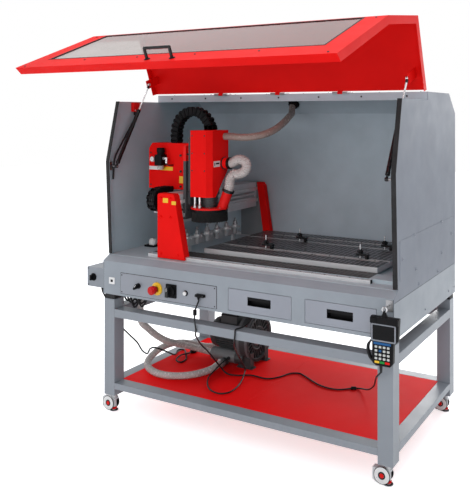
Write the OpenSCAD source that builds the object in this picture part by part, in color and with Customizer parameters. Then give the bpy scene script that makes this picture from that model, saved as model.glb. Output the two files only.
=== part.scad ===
// Enclosed three-axis milling machine on a wheeled stand, lid propped open.
// Millimetres. X runs to the right, Y to the rear, Z up. The origin is on the
// floor under the middle of the whole machine, with its lid open. The modules
// are drawn about the centre of the stand and put in place at the end.

/* [Stand] */
// Width of the stand over its posts
stand_w = 1500; // [1350:10:1800]
// Depth of the stand over its posts
stand_d = 816; // [790:2:980]
// Side of the square post tube
post_size = 65; // [50:1:80]
// Height of the post tops above the floor
stand_h = 552; // [460:5:680]
// Wall of the stand's tubes
tube_wall = 3; // [2:0.5:5]
// Depth of every rail, front to back on the long ones
rail_depth = 60; // [40:1:64]
// Height of the upper rails
upper_rail_h = 40; // [30:1:60]
// Distance from the post tops down to the upper rails
upper_rail_drop = 46; // [20:1:70]
// Height of the lower rails
lower_rail_h = 30; // [20:1:40]
// Height of the lower rails' tops above the floor
lower_rail_top = 148; // [130:1:200]
// Thickness of the shelf sheet
shelf_t = 3; // [1.5:0.5:6]
// Thickness of the rubber pads between posts and housing
pad_t = 23; // [10:1:40]

/* [Casters] */
// Height of a levelling caster, floor to post
caster_h = 84; // [78:1:100]
// Diameter of a caster wheel
wheel_d = 50; // [40:1:54]
// Width of a caster wheel
wheel_w = 22; // [16:1:28]
// Distance from the swivel axis to the wheel's axle
caster_trail = 38; // [36:1:44]
// Diameter of the levelling pad
foot_d = 40; // [30:1:44]

/* [Housing] */
// How far each side panel stands out beyond the posts
side_overhang = 5; // [0:1:12]
// How far the apron stands out in front of the posts
front_overhang = 2; // [0:1:10]
// How far the rear wall stands out behind the posts
rear_overhang = 7; // [0:1:20]
// Height from the housing's bottom to its roof
housing_h = 971; // [930:1:1150]
// Height of the tray's side walls
tray_h = 144; // [130:1:150]
// Height of the apron
apron_h = 160; // [155:1:170]
// Height of the deck above the housing's bottom
deck_h = 185; // [183:1:195]
// Thickness of the housing's sheet metal
sheet = 3; // [2:0.5:4]
// Width of the side panels' folded front edge
edge_w = 20; // [14:1:30]
// Thickness of the rubber edge trim
trim_t = 3; // [1.5:0.5:3]

/* [Lid] */
// Angle through which the lid is propped open
lid_open = 70; // [70:1:70]
// Thickness of the lid's sheet metal
lid_sheet = 2; // [1.5:0.5:3]
// Depth of the lid's side flanges
lid_flange = 34; // [28:1:35]
// Margin between the window opening and the lid's sides
window_side = 90; // [60:1:140]
// Margin between the window opening and the lid's lower edge
window_foot = 102; // [80:1:140]
// Thickness of the window pane
pane_t = 4; // [3:0.5:6]
// Outer diameter of the hinge knuckles
knuckle_d = 12; // [10:1:16]

/* [Drawers and panel] */
// Width of a drawer front
drawer_w = 316; // [240:2:330]
// Height of a drawer front
drawer_h = 95; // [80:1:98]
// Depth of a drawer box
drawer_depth = 330; // [250:5:360]
// Travel of a drawer
drawer_travel = 280; // [200:5:300]
// Gap around each drawer front
drawer_gap = 1.5; // [1:0.5:3]
// Width of the control panel insert
panel_w = 562; // [540:2:600]
// Height of the control panel insert
panel_h = 98; // [90:1:104]

/* [Machine] */
// Width of the worktable
table_w = 900; // [750:10:960]
// Depth of the worktable
table_d = 570; // [480:10:570]
// Height of the table's surface above the deck
table_rise = 40; // [30:1:48]
// Thickness of the table plate
table_t = 22; // [16:1:24]
// Width of the gantry beam
beam_w = 102; // [80:1:110]
// Height of the gantry beam
beam_h = 135; // [110:1:140]
// Diameter of the ball screw
screw_d = 14; // [10:1:16]
// Diameter of the spindle motor
spindle_d = 94; // [80:1:98]
// Diameter of the dust brush
brush_d = 175; // [150:1:178]
// Height of the bristles
brush_h = 60; // [40:1:70]
// Distance between neighbouring tool holders
tool_pitch = 82; // [70:1:82]

/* [Blower] */
// Diameter of the blower's round housing
blower_d = 236; // [200:1:250]
// Diameter of the blower motor
blower_motor_d = 150; // [120:1:170]

/* [Hidden] */
$fn = 48;

// Where the centre of the stand is, measured from the origin
stand_centre = [47, 248, 0];

// Fits
running_gap = 0.05; // radial clearance of a shaft in its bore
slip = 0.5;         // clearance beside a sliding block
seat_gap = 0.3;     // gap between bodies that meet but move apart

// Stand
post_x = stand_w / 2 - post_size / 2;
post_y = stand_d / 2 - post_size / 2;
post_foot_t = 8;
long_rail = stand_w - 2 * post_size;
cross_rail = stand_d - 2 * post_size;
upper_rail_z = stand_h - upper_rail_drop - upper_rail_h;
lower_rail_z = lower_rail_top - lower_rail_h;
shelf_x = stand_w / 2 - rail_depth;
shelf_y = stand_d / 2 - rail_depth;
shelf_gap = 0.6;

// Casters
stem_r = 6;
stem_in_post = post_foot_t;
wheel_lift = 2;
axle_r = 4;
axle_z = wheel_d / 2 + wheel_lift;
cheek_t = 3;
cheek_gap = 0.5;
foot_t = 6;
thumb_r = 13;
CORNERS = [[-1, -1], [1, -1], [-1, 1], [1, 1]];

// Housing
base_z = stand_h + pad_t;
half_w = stand_w / 2 + side_overhang;
inner_w = half_w - sheet;
tray_top = base_z + tray_h;
apron_y = -stand_d / 2 - front_overhang;
housing_rear = stand_d / 2 + rear_overhang;
apron_top = base_z + apron_h;
lip_run = 40;
lip_rise = 24;
deck_z = base_z + deck_h;
roof_z = base_z + housing_h;
hinge_y = -18;
brow_z = roof_z - 36;
beam_front = -10;
roof_rear = 313;
shoulder_z = roof_z - 95;
knee_z = base_z + 640;
side_outline = [[apron_y, tray_top], [apron_y, apron_top],
                [apron_y + lip_run, apron_top + lip_rise], [apron_y + 19, knee_z],
                [apron_y + 88, brow_z], [beam_front, brow_z], [beam_front, roof_z],
                [roof_rear, roof_z], [housing_rear, shoulder_z], [housing_rear, tray_top]];
edge_path = [side_outline[2] + 0.01 * (side_outline[3] - side_outline[2]), side_outline[3],
             side_outline[4]];
cover_plate = [[-350, 400], [deck_z + 30, deck_z + 190], 2]; // y span, z span, thickness

// Lid, drawn closed: its outer line from the hinge to the lower lip
hinge_z = roof_z;
lid_rear = hinge_y - 8;
lid_line = [[lid_rear, roof_z], [apron_y + 88 - 33, roof_z], [apron_y + 19 - 40, knee_z - 1],
            [apron_y - 5, apron_top + 4]];
lip_back = 34;
lip_up = 18;
hinge_x = [-337, 0, 337];
knuckle_l = 26;
leaf_t = 2;
pin_r = 3;

// Struts: where they are pivoted on the wall and on the lid
strut_x = half_w - 47;
strut_foot = [apron_y + 39, knee_z - 23];
strut_ball_open = [hinge_y - 117, roof_z + 54];
strut_vec = strut_ball_open - strut_foot;
strut_len = norm(strut_vec);
strut_angle = atan2(strut_vec[1], strut_vec[0]);
strut_ball_closed = [hinge_y - 91, roof_z - 91];
barrel_r = 9;
barrel_l = 300;
barrel_wall = 2;
rod_r = 4;
eye_r = 8;
eye_w = 12;
ball_pin_r = 4;

// Front fittings, on one line across the panel
fitting_z = base_z + 62;
panel_x = -361;
selector_x = panel_x - 167;
estop_x = panel_x - 54;
main_x = panel_x + 44;
start_x = panel_x + 112;
socket_x = panel_x + 198;
usb_x = panel_x - 337;
panel_t = 2;
estop_travel = 4;
start_travel = 3;

// Drawers
drawer_z = base_z + 17;
drawer_x = [141, 523];
drawer_sheet = 1.5;
drawer_box_w = drawer_w - 24;
drawer_box_h = drawer_h - 20;
grip_w = 116;
grip_h = 37;
grip_depth = 26;
grip_z = drawer_z + 32;
runner_w = 16;

// Worktable and rails
table_x0 = -300;
table_y0 = -205;
table_z = deck_z + table_rise;
slot_w = 10;
slot_y = [-68, 171];
rail_w = 20;
rail_h = 15;
rail_y = [-318, 385];
rail_x0 = -545;
rail_x1 = 620;
clamp_spots = [[18, slot_y[1]], [482, slot_y[1]], [-36, slot_y[0]], [461, slot_y[0]]];

// Gantry
beam_x0 = -476;
beam_x1 = beam_x0 + beam_w;
beam_top = deck_z + 305;
beam_z0 = beam_top - beam_h;
beam_y0 = -300;
beam_y1 = 372;
upright_y0 = -340;
upright_t = 40;
upright_top = beam_top + 5;
upright_foot = deck_z + 3;
upright_spread = 61;
track_w = 15;
track_t = 10;
track_z = [beam_top - 34, beam_top - 100];
groove_w = 32;
groove_d = 24;
screw_x = beam_x1 - 11;
screw_z = beam_top - 65;
tray_w = 70;

// Carriage
plate_x0 = beam_x1 + 1;
plate_x1 = beam_x1 + 16;
plate_y = [-275, -145];
plate_top = beam_top + 230;
z_rail_t = 12;
cover_x0 = -661;
cover_x1 = -438;
cover_y = -190;
cover_z0 = beam_top + 8;
cover_z1 = cover_z0 + 229;

// Spindle
spindle_x = -265;
spindle_y = -210;
hood_x = [-322, -209];
hood_y = [-285, -135];
hood_z = [deck_z + 295, deck_z + 610];
hood_sheet = 2;
hood_chamfer = 23;
shoe_z = deck_z + 236;
shoe_t = 8;
brush_wall = 26;
nose_r = 25;

// Tool rack
rack_x = -380;
tool_count = 6;
tool_y0 = -239;
fork_z = deck_z + 78;
fork_t = 8;

// Blower
blower_x = -200;
blower_t = 70;
blower_y = 132;
blower_z = lower_rail_top + 136;
silencer_d = 64;
silencer_l = 170;
silencer_y = [60, 160];
silencer_z = lower_rail_top + 44;

// Handset
handset_x = half_w - 19;
handset_y = apron_y - 52;
handset_t = 26;
handset_top = base_z + 100;
hook_z = base_z + 136;

// Side switch box
side_box_reach = 138;
side_box = [[-half_w - side_box_reach, -half_w], [-380, -235], [base_z + 14, base_z + 110]];
side_knob_x = -half_w - 95;

// Tool length sensor, beside the left wall
sensor_at = [-inner_w + 56, -120];
sensor_r = 20;
sensor_base = 64;

// Cords: round-number points along each route, and diameters
vacuum_d = 34;
vacuum_port = [blower_x - blower_t - 77, -5, silencer_z - 20];
vacuum_feed = [[-668, -245, base_z], [-668, -245, 480], [-670, -238, 405], [-657, -200, 358],
               [-644, -150, 310], [-625, -100, 272], [-612, -35, 240], [-580, 25, 214],
               [-525, 55, 197], [-465, 60, silencer_z], [-440, 60, silencer_z]];
vacuum_loop = [vacuum_port, vacuum_port - [0, 30, 0], [-346, -80, 168], [-362, -135, 166],
               [-394, -190, 166], [-445, -232, 166], [-510, -252, 166], [-580, -246, 167],
               [-645, -215, 172], [-688, -165, 180], [-708, -100, 190], [-714, -35, 200],
               [-702, 30, 204], [-664, 80, 203], [-605, 103, 198], [-540, 122, 190],
               [-485, 150, silencer_z], [-460, 160, silencer_z], [-440, 160, silencer_z]];
mains_d = 8;
mains_route = [[-half_w - 84, -330, base_z + 12], [-839, -330, 560], [-828, -325, 530], [-814, -300, 480],
               [-820, -255, 410], [-826, -210, 345], [-820, -160, 290], [-812, -110, 236],
               [-790, -98, 195], [-752, -100, 184], [-734, -97, 212], [-705, -91, 220], [-668, -60, 200],
               [-652, -10, 168], [-675, 40, 153], [-700, 90, 153], [-672, 108, 153],
               [-625, 60, 153], [-575, 0, 153], [-570, -50, 153], [-608, -40, 156],
               [-618, 10, 163], [-610, 60, 159], [-610, 85, 157]];
cable_d = 7;
socket_pin = [socket_x - 9, apron_y - 9, fitting_z - 6];
handset_route = [socket_pin, socket_pin - [0, 0, 18], [-176, -438, 573], [-185, -430, 529],
                 [-190, -414, 479], [-194, -413, 459], [-207, -380, 426], [-245, -300, 369], [-281, -200, 301],
                 [-297, -125, 235], [-290, -78, 180], [-262, -68, 154], [-213, -59, 152],
                 [-150, -25, 152], [-60, -26, 152], [-15, 20, 152], [10, 85, 152],
                 [50, 108, 152], [95, 88, 152], [209, 24, 152], [301, 17, 152],
                 [360, 62, 152], [400, 70, 156], [470, 0, 190], [560, -150, 275],
                 [640, -320, 375], [695, -440, 440], [handset_x - 14, handset_y, handset_top - 205],
                 [handset_x - 14, handset_y, handset_top - 180]];
blower_route = [[40, -300, base_z], [40, -300, 550], [35, -325, 520], [28, -360, 511],
                [24, -400, 513], [22, -413.5, 510], [20, -413.5, 488], [16, -413, 460],
                [-10, -375, 425],
                [-60, -290, 372], [-115, -190, 310], [-160, -90, 235], [-182, -30, 178],
                [-168, -62, 163], [-148, -115, 153], [-128, -185, 152], [-128, -250, 152],
                [-165, -280, 152], [-225, -262, 152], [-275, -215, 153], [-308, -160, 160],
                [-319, -105, 168], [-320, -45, 184], [-320, 10, silencer_z], [-320, 22, silencer_z]];
spindle_hose_d = 35;
roof_slope = [housing_rear - roof_rear, shoulder_z - roof_z];
roof_fall = roof_slope / norm(roof_slope);
roof_inward = [0, roof_fall[1], -roof_fall[0]];
port_share = 0.368; // how far down the slope the hose goes through
port_depth = 14.9;  // from the outer face in to the hose's end
gland_l = 12.5;
spindle_port = [-115, roof_rear + port_share * roof_slope[0], roof_z + port_share * roof_slope[1]]
               + port_depth * roof_inward;
spindle_hose_route = [[-208.7, -165, 1340], [-174, -165, 1340], [-110, -163, 1337], [-55, -142, 1341],
                      [-15, -95, 1355], [-5, -20, 1378], [-18, 80, 1410], [-42, 170, 1436],
                      [-72, 245, 1450], [-105, 305, 1465], spindle_port + 20 * roof_inward, spindle_port];
dust_hose_d = 48;
dust_port = [-168, -200, 1076];
dust_stub = [-197, -205, 998];
dust_hose_route = [dust_port, dust_port + [3.5, 0.6, 9.4], [-160, -197, 1110], [-157, -193, 1140],
                   [-140, -187, 1162], [-112, -182, 1165], [-87, -178, 1177], [-77, -174, 1200],
                   [-91, -170, 1224], [-120, -170, 1232], [-148, -170, 1221], [-168, -170, 1212],
                   [-184, -170, 1212]];

// ---------------------------------------------------------------- helpers

// A box between two corners.
module block(low, high) {
    translate(low) cube(high - low);
}

// A prism along X over an outline of [y, z] points.
module side_prism(outline, x0, x1) {
    translate([x0, 0, 0]) rotate([90, 0, 90]) linear_extrude(x1 - x0) polygon(outline);
}

// A prism along Y over an outline of [x, z] points.
module front_prism(outline, y0, y1) {
    translate([0, y1, 0]) rotate([90, 0, 0]) linear_extrude(y1 - y0) polygon(outline);
}

// A round bar from one point to another.
module bar(start, end, r) {
    along = end - start;
    length = norm(along);
    translate(start) rotate([0, acos(along[2] / length), atan2(along[1], along[0])])
        cylinder(h = length, r = r);
}

module mirrored_x() {
    children();
    mirror([1, 0, 0]) children();
}

function unit(v) = v / norm(v);

// The left-hand normal of one leg of a path in a plane.
function leg_normal(path, i) = let (d = unit(path[i + 1] - path[i])) [-d[1], d[0]];

// One corner of a path moved sideways by a distance, with a mitre.
function moved_corner(path, i, distance) =
    i == 0 ? path[0] + distance * leg_normal(path, 0)
    : i == len(path) - 1 ? path[i] + distance * leg_normal(path, i - 1)
    : let (a = leg_normal(path, i - 1), b = leg_normal(path, i))
      path[i] + distance * (a + b) / (1 + a * b);

function moved_path(path, distance) = [for (i = [0 : len(path) - 1]) moved_corner(path, i, distance)];

function reversed(list) = [for (i = [len(list) - 1 : -1 : 0]) list[i]];

// The outline of a bent sheet between two lines beside a path.
function sheet_outline(path, near, far) = concat(moved_path(path, near), reversed(moved_path(path, far)));

// A smooth line through the points of a route, in a number of steps for each leg.
function leg_point(p, i, t) =
    let (a = p[max(i - 1, 0)], b = p[i], c = p[i + 1], d = p[min(i + 2, len(p) - 1)])
    0.5 * (2 * b + (c - a) * t + (2 * a - 5 * b + 4 * c - d) * t * t + (3 * b - a - 3 * c + d) * t * t * t);

function smooth_route(p, steps) =
    concat([for (i = [0 : len(p) - 2]) for (k = [0 : steps - 1]) leg_point(p, i, k / steps)],
           [p[len(p) - 1]]);

function heading(p, i) = unit(p[min(i + 1, len(p) - 1)] - p[max(i - 1, 0)]);

function across(side, along) = unit(side - (side * along) * along);

// A tube swept along a route as one closed body.
module swept_tube(route, d, sides = 8, steps = 1) {
    path = smooth_route(route, steps);
    count = len(path);
    first = across([0.6, 0.8, 0.05], heading(path, 0));
    sides_dir = [for (i = 0, n = first; i < count;
                      n = across(n, heading(path, min(i + 1, count - 1))), i = i + 1) n];
    points = [for (i = [0 : count - 1])
                  let (along = heading(path, i), u = sides_dir[i], v = cross(along, u))
                  for (k = [0 : sides - 1])
                      path[i] + d / 2 * (cos(360 * k / sides) * u + sin(360 * k / sides) * v)];
    caps = [[for (k = [0 : sides - 1]) k], [for (k = [sides - 1 : -1 : 0]) (count - 1) * sides + k]];
    walls = [for (i = [0 : count - 2]) for (k = [0 : sides - 1])
                 let (k2 = (k + 1) % sides)
                 [i * sides + k, (i + 1) * sides + k, (i + 1) * sides + k2, i * sides + k2]];
    polyhedron(points, concat(caps, walls), convexity = 10);
}

// ---------------------------------------------------------------- stand

module one_post() {
    hole = post_size - 2 * tube_wall;
    difference() {
        block([-post_size / 2, -post_size / 2, caster_h], [post_size / 2, post_size / 2, stand_h]);
        block([-hole / 2, -hole / 2, caster_h + post_foot_t], [hole / 2, hole / 2, stand_h + 1]);
        translate([0, 0, caster_h - 1]) cylinder(h = post_foot_t + 2, r = stem_r + running_gap);
    }
}

module stand_posts() {
    color("slategray")
        for (c = CORNERS)
            translate([c[0] * post_x, c[1] * post_y, 0]) one_post();
}

// A rail along X, open at its ends, with its front face at y = 0.
module long_rail_tube(h) {
    difference() {
        block([-long_rail / 2, 0, 0], [long_rail / 2, rail_depth, h]);
        block([-long_rail / 2 - 1, tube_wall, tube_wall],
              [long_rail / 2 + 1, rail_depth - tube_wall, h - tube_wall]);
    }
}

// A rail along Y, open at its ends, with its outer face at x = 0.
module cross_rail_tube(h) {
    difference() {
        block([0, -cross_rail / 2, 0], [rail_depth, cross_rail / 2, h]);
        block([tube_wall, -cross_rail / 2 - 1, tube_wall],
              [rail_depth - tube_wall, cross_rail / 2 + 1, h - tube_wall]);
    }
}

module rail_ring(z, h) {
    for (turn = [0, 180])
        rotate(turn) {
            translate([0, -stand_d / 2, z]) long_rail_tube(h);
            translate([-stand_w / 2, 0, z]) cross_rail_tube(h);
        }
}

module stand_rails() {
    color("slategray") {
        rail_ring(upper_rail_z, upper_rail_h);
        rail_ring(lower_rail_z, lower_rail_h);
    }
}

module stand_shelf() {
    color("red")
        mirrored_x()
            difference() {
                block([shelf_gap / 2, -shelf_y, lower_rail_top - shelf_t],
                      [shelf_x, shelf_y, lower_rail_top]);
                for (c = [-1, 1])
                    block([stand_w / 2 - post_size, c * post_y - post_size / 2, lower_rail_top - shelf_t - 1],
                          [stand_w / 2, c * post_y + post_size / 2, lower_rail_top + 1]);
            }
}

module rubber_pads_and_trims() {
    pad_side = post_size - 5;
    color("black") {
        for (c = CORNERS)
            translate([c[0] * post_x - pad_side / 2, c[1] * post_y - pad_side / 2, stand_h])
                cube([pad_side, pad_side, pad_t]);
        mirrored_x()
            side_prism(sheet_outline(edge_path, 0, trim_t), half_w - edge_w, half_w);
    }
}

// ---------------------------------------------------------------- housing

module base_tray() {
    lip_line = [[apron_y, base_z], [apron_y, apron_top], [apron_y + lip_run, apron_top + lip_rise]];
    color("slategray")
        difference() {
            union() {
                // floor, sides and rear
                difference() {
                    block([-half_w, apron_y, base_z], [half_w, housing_rear, tray_top]);
                    block([-inner_w, apron_y + sheet, base_z + sheet],
                          [inner_w, housing_rear - sheet, tray_top + 1]);
                }
                // apron and its sloping lip
                side_prism(sheet_outline(lip_line, -sheet, 0), -inner_w, inner_w);
                // ledges that carry the drawers
                for (x = drawer_x)
                    for (side = [-1, 1])
                        translate([x + side * (drawer_box_w / 2 - runner_w / 2) - runner_w / 2,
                                   apron_y + sheet, base_z + sheet])
                            cube([runner_w, drawer_depth + 12, drawer_z + 6 - seat_gap - base_z - sheet]);
            }
            for (x = drawer_x)
                block([x - drawer_w / 2 - drawer_gap, apron_y - 1, drawer_z - drawer_gap],
                      [x + drawer_w / 2 + drawer_gap, apron_y + sheet + 1, drawer_z + drawer_h + drawer_gap]);
            // opening behind the control panel
            block([panel_x - panel_w / 2 + 12, apron_y - 1, fitting_z - panel_h / 2 + 8],
                  [panel_x + panel_w / 2 - 12, apron_y + sheet + 1, fitting_z + panel_h / 2 - 8]);
        }
}

module side_panels() {
    color("slategray")
        mirrored_x() {
            side_prism(side_outline, inner_w, half_w);
            side_prism(sheet_outline(edge_path, -sheet, 0), half_w - edge_w, inner_w);
            block([half_w, cover_plate[0][0], cover_plate[1][0]],
                  [half_w + cover_plate[2], cover_plate[0][1], cover_plate[1][1]]);
        }
}

module rear_shell() {
    roof_line = [[beam_front + 32, brow_z], [beam_front, brow_z], [beam_front, roof_z], [roof_rear, roof_z],
                 [housing_rear, shoulder_z], [housing_rear, tray_top]];
    color("slategray")
        side_prism(sheet_outline(roof_line, -sheet, 0), -inner_w, inner_w);
    // gland of the spindle hose, on the sloping roof
    color("black")
        bar(spindle_port, spindle_port - gland_l * roof_inward, spindle_hose_d / 2 + 6);
}

module deck_plate() {
    color("darkgray") {
        block([-inner_w, apron_y + lip_run + 1.6, deck_z - sheet], [inner_w, housing_rear - sheet, deck_z]);
        // raised cover over the long drive
        difference() {
            block([rail_x0, rail_y[0] + 20, deck_z], [inner_w - 40, table_y0 - 2, deck_z + 15]);
            block([rail_x0 + 2, rail_y[0] + 22, deck_z - 1], [inner_w - 42, table_y0 - 4, deck_z + 13]);
        }
    }
}

module x_rails() {
    color("silver")
        for (y = rail_y)
            block([rail_x0, y - rail_w / 2, deck_z], [rail_x1, y + rail_w / 2, deck_z + rail_h]);
}

module worktable() {
    riser_in = 20;
    color("dimgray")
        difference() {
            union() {
                block([table_x0, table_y0, table_z - table_t],
                      [table_x0 + table_w, table_y0 + table_d, table_z]);
                block([table_x0 + riser_in, table_y0 + riser_in, deck_z],
                      [table_x0 + table_w - riser_in, table_y0 + table_d - riser_in, table_z - table_t]);
            }
            for (y = slot_y)
                block([table_x0 - 1, y - slot_w / 2, table_z - 12],
                      [table_x0 + table_w + 1, y + slot_w / 2, table_z + 1]);
        }
}

// A step clamp: a stud in the slot, a hand nut, and an arm that reaches to a heel block.
module one_clamp() {
    stud_r = slot_w / 2 - 1;
    arm = [-14, 40];
    arm_z = [14, 24];
    half = 13;
    translate([0, 0, -11]) cylinder(h = 75, r = stud_r);
    difference() {
        block([arm[0], -half, arm_z[0]], [arm[1], half, arm_z[1]]);
        translate([0, 0, arm_z[0] - 1]) cylinder(h = 12, r = stud_r + running_gap);
    }
    block([arm[1] - 12, -half, 0], [arm[1], half, arm_z[0]]);
    difference() {
        translate([0, 0, arm_z[1]]) cylinder(h = 14, r = 13);
        translate([0, 0, arm_z[1] - 1]) cylinder(h = 16, r = stud_r + running_gap);
    }
}

module table_clamps() {
    color("black")
        for (spot = clamp_spots)
            translate([spot[0], spot[1], table_z]) one_clamp();
}

module one_fork(y) {
    difference() {
        block([rack_x - 16, y - 18, fork_z], [rack_x + 22, y + 18, fork_z + fork_t]);
        translate([rack_x, y, fork_z - 1]) cylinder(h = fork_t + 2, r = 11.5);
        block([rack_x, y - 9, fork_z - 1], [rack_x + 23, y + 9, fork_z + fork_t + 1]);
    }
}

module tool_rack() {
    last_y = tool_y0 + tool_pitch * (tool_count - 1);
    color("whitesmoke") {
        block([rack_x - 28, tool_y0 - 28, deck_z + 40], [rack_x - 16, last_y + 28, fork_z + fork_t]);
        for (y = [tool_y0 + 40, last_y + 4])
            block([rack_x - 28, y, deck_z], [rack_x - 16, y + 16, deck_z + 40]);
        for (i = [0 : tool_count - 1])
            one_fork(tool_y0 + i * tool_pitch);
    }
}

// A tool holder: nut below, flange on the fork, cone and pull stud above.
module one_tool() {
    rotate_extrude()
        polygon([[0, -32], [8, -32], [11, -26], [11, fork_t], [17, fork_t], [17, fork_t + 8], [14, fork_t + 10],
                 [8, fork_t + 32], [4, fork_t + 33], [4, fork_t + 38], [6, fork_t + 39], [6, fork_t + 44],
                 [0, fork_t + 45]]);
}

module tool_holders() {
    color("silver")
        for (i = [0 : tool_count - 1])
            translate([rack_x, tool_y0 + i * tool_pitch, fork_z]) one_tool();
}

// ---------------------------------------------------------------- panel

module control_panel() {
    face_y = apron_y - panel_t;
    color("slategray")
        difference() {
            block([panel_x - panel_w / 2, face_y, fitting_z - panel_h / 2],
                  [panel_x + panel_w / 2, apron_y, fitting_z + panel_h / 2]);
            for (x = [estop_x, start_x])
                translate([x, apron_y + 1, fitting_z]) rotate([90, 0, 0]) cylinder(h = 4, r = 6.4);
            translate([selector_x, apron_y + 1, fitting_z]) rotate([90, 0, 0]) cylinder(h = 4, r = 4.4);
            translate([main_x - 14, apron_y + 1, fitting_z]) rotate([90, 0, 0]) cylinder(h = 4, r = 5.4);
        }
    color("gold") panel_ring(estop_x, 30, 8, 6);
    color("black") panel_ring(start_x, 12.5, 4, 6);
    color("black") panel_ring(selector_x, 13, 5, 4);
    color("black")
        difference() {
            block([main_x - 44, face_y - 6, fitting_z - 31], [main_x + 16, face_y, fitting_z + 31]);
            translate([main_x - 14, face_y + 1, fitting_z]) rotate([90, 0, 0])
                cylinder(h = 8, r = 5 + running_gap);
        }
    color("black") block([socket_x - 24, face_y - 14, fitting_z - 6],
                         [socket_x + 24, face_y, fitting_z + 6]);
    color("white") block([usb_x - 18, apron_y - 3, fitting_z - 11], [usb_x + 18, apron_y, fitting_z + 21]);
}

// A collar on the panel face, bored for the stem that moves in it.
module panel_ring(x, r, t, stem) {
    translate([x, apron_y - panel_t, fitting_z]) rotate([90, 0, 0])
        difference() {
            cylinder(h = t, r = r);
            translate([0, 0, -1]) cylinder(h = t + 2, r = stem + running_gap);
        }
}

// A stem through the panel, along Y, with its front end at y.
module panel_stem(x, z, r, y) {
    bar([x, y, z], [x, apron_y + 14, z], r);
}

module estop_button() {
    collar_y = apron_y - panel_t - 8;
    color("red") {
        panel_stem(estop_x, fitting_z, 6, collar_y - 20);
        translate([estop_x, collar_y - 14 - estop_travel, fitting_z]) rotate([90, 0, 0]) {
            cylinder(h = 18, r = 20);
            cylinder(h = 24, r = 14);
        }
        bar([estop_x, collar_y - estop_travel - 0.5, fitting_z], [estop_x, collar_y - 20, fitting_z], 12);
    }
}

module mode_selector() {
    collar_y = apron_y - panel_t - 5;
    color("black") {
        panel_stem(selector_x, fitting_z, 4, collar_y - 4);
        bar([selector_x, collar_y - seat_gap, fitting_z], [selector_x, collar_y - 8, fitting_z], 11);
        rotate_about([selector_x, fitting_z], 35)
            block([selector_x - 4, collar_y - 24, fitting_z - 14],
                  [selector_x + 4, collar_y - 4, fitting_z + 14]);
    }
}

// Turns children about an axis along Y through [x, z].
module rotate_about(axis, angle) {
    translate([axis[0], 0, axis[1]]) rotate([0, angle, 0]) translate([-axis[0], 0, -axis[1]]) children();
}

module main_switch_knob() {
    plate_y = apron_y - panel_t - 6;
    x = main_x - 14;
    color("black") {
        panel_stem(x, fitting_z, 5, plate_y - 4);
        bar([x, plate_y - seat_gap, fitting_z], [x, plate_y - 12, fitting_z], 25);
        block([x - 8, plate_y - 32, fitting_z - 22], [x + 8, plate_y - 10, fitting_z + 22]);
    }
}

module start_button() {
    ring_y = apron_y - panel_t - 4;
    color("white") {
        panel_stem(start_x, fitting_z, 6, ring_y - 4);
        bar([start_x, ring_y - start_travel - 0.5, fitting_z], [start_x, ring_y - 7, fitting_z], 9);
    }
}

module side_switch_box() {
    low = [side_box[0][0], side_box[1][0], side_box[2][0]];
    high = [side_box[0][1], side_box[1][1], side_box[2][1]];
    inset = [2, 2, 2];
    color("slategray") {
        difference() {
            block(low, high);
            block(low + inset, high - [-1, 2, 2]);
            translate([side_knob_x, low[1] + 3, fitting_z]) rotate([90, 0, 0])
                cylinder(h = 4, r = 4 + running_gap);
        }
        // gland of the mains cord
        translate([mains_route[0][0], mains_route[0][1], low[2] - 2])
            cylinder(h = 4, r = 9);
    }
}

module side_switch_knob() {
    face = side_box[1][0];
    color("black") {
        bar([side_knob_x, face - 4, fitting_z], [side_knob_x, face + 10, fitting_z], 4);
        bar([side_knob_x, face - seat_gap, fitting_z], [side_knob_x, face - 8, fitting_z], 15);
        block([side_knob_x - 4, face - 24, fitting_z - 13], [side_knob_x + 4, face - 6, fitting_z + 13]);
    }
}

// ---------------------------------------------------------------- drawers

module drawer(x) {
    left = x - drawer_w / 2;
    right = x + drawer_w / 2;
    box_l = x - drawer_box_w / 2;
    box_r = x + drawer_box_w / 2;
    box_z = drawer_z + 6;
    back = apron_y + sheet + drawer_depth;
    color("slategray")
        difference() {
            union() {
                block([left, apron_y, drawer_z], [right, apron_y + sheet, drawer_z + drawer_h]);
                difference() {
                    block([box_l, apron_y + 1, box_z], [box_r, back, box_z + drawer_box_h]);
                    block([box_l + drawer_sheet, apron_y + sheet, box_z + drawer_sheet],
                          [box_r - drawer_sheet, back - drawer_sheet, box_z + drawer_box_h + 1]);
                }
                // shell of the finger recess
                block([x - grip_w / 2 - 1.5, apron_y + 1, grip_z - 1.5],
                      [x + grip_w / 2 + 1.5, apron_y + grip_depth + 1.5, grip_z + grip_h + 1.5]);
            }
            block([x - grip_w / 2, apron_y - 1, grip_z],
                  [x + grip_w / 2, apron_y + grip_depth, grip_z + grip_h]);
        }
}

module left_drawer() { drawer(drawer_x[0]); }
module right_drawer() { drawer(drawer_x[1]); }

// ---------------------------------------------------------------- brackets

// A fixed hinge leaf with two knuckles and the pin, on the roof's front edge.
module fixed_hinge(x) {
    for (side = [-1, 1])
        translate([x + side * (knuckle_l + seat_gap) - knuckle_l / 2, hinge_y, hinge_z]) rotate([0, 90, 0])
            cylinder(h = knuckle_l, r = knuckle_d / 2);
    bar([x - 1.5 * knuckle_l, hinge_y, hinge_z], [x + 1.5 * knuckle_l, hinge_y, hinge_z], pin_r);
    for (side = [-1, 1])
        block([x + side * (knuckle_l + seat_gap) - knuckle_l / 2, hinge_y, hinge_z],
              [x + side * (knuckle_l + seat_gap) + knuckle_l / 2, beam_front + 30, hinge_z + leaf_t]);
}

// The wall bracket at a strut's foot, with its ball stud.
module strut_stud() {
    block([inner_w - 3, strut_foot[0] - 15, strut_foot[1] - 22],
          [inner_w, strut_foot[0] + 15, strut_foot[1] + 22]);
    bar([strut_x - eye_w / 2 - 2, strut_foot[0], strut_foot[1]],
        [inner_w - 2, strut_foot[0], strut_foot[1]], ball_pin_r);
}

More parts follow.
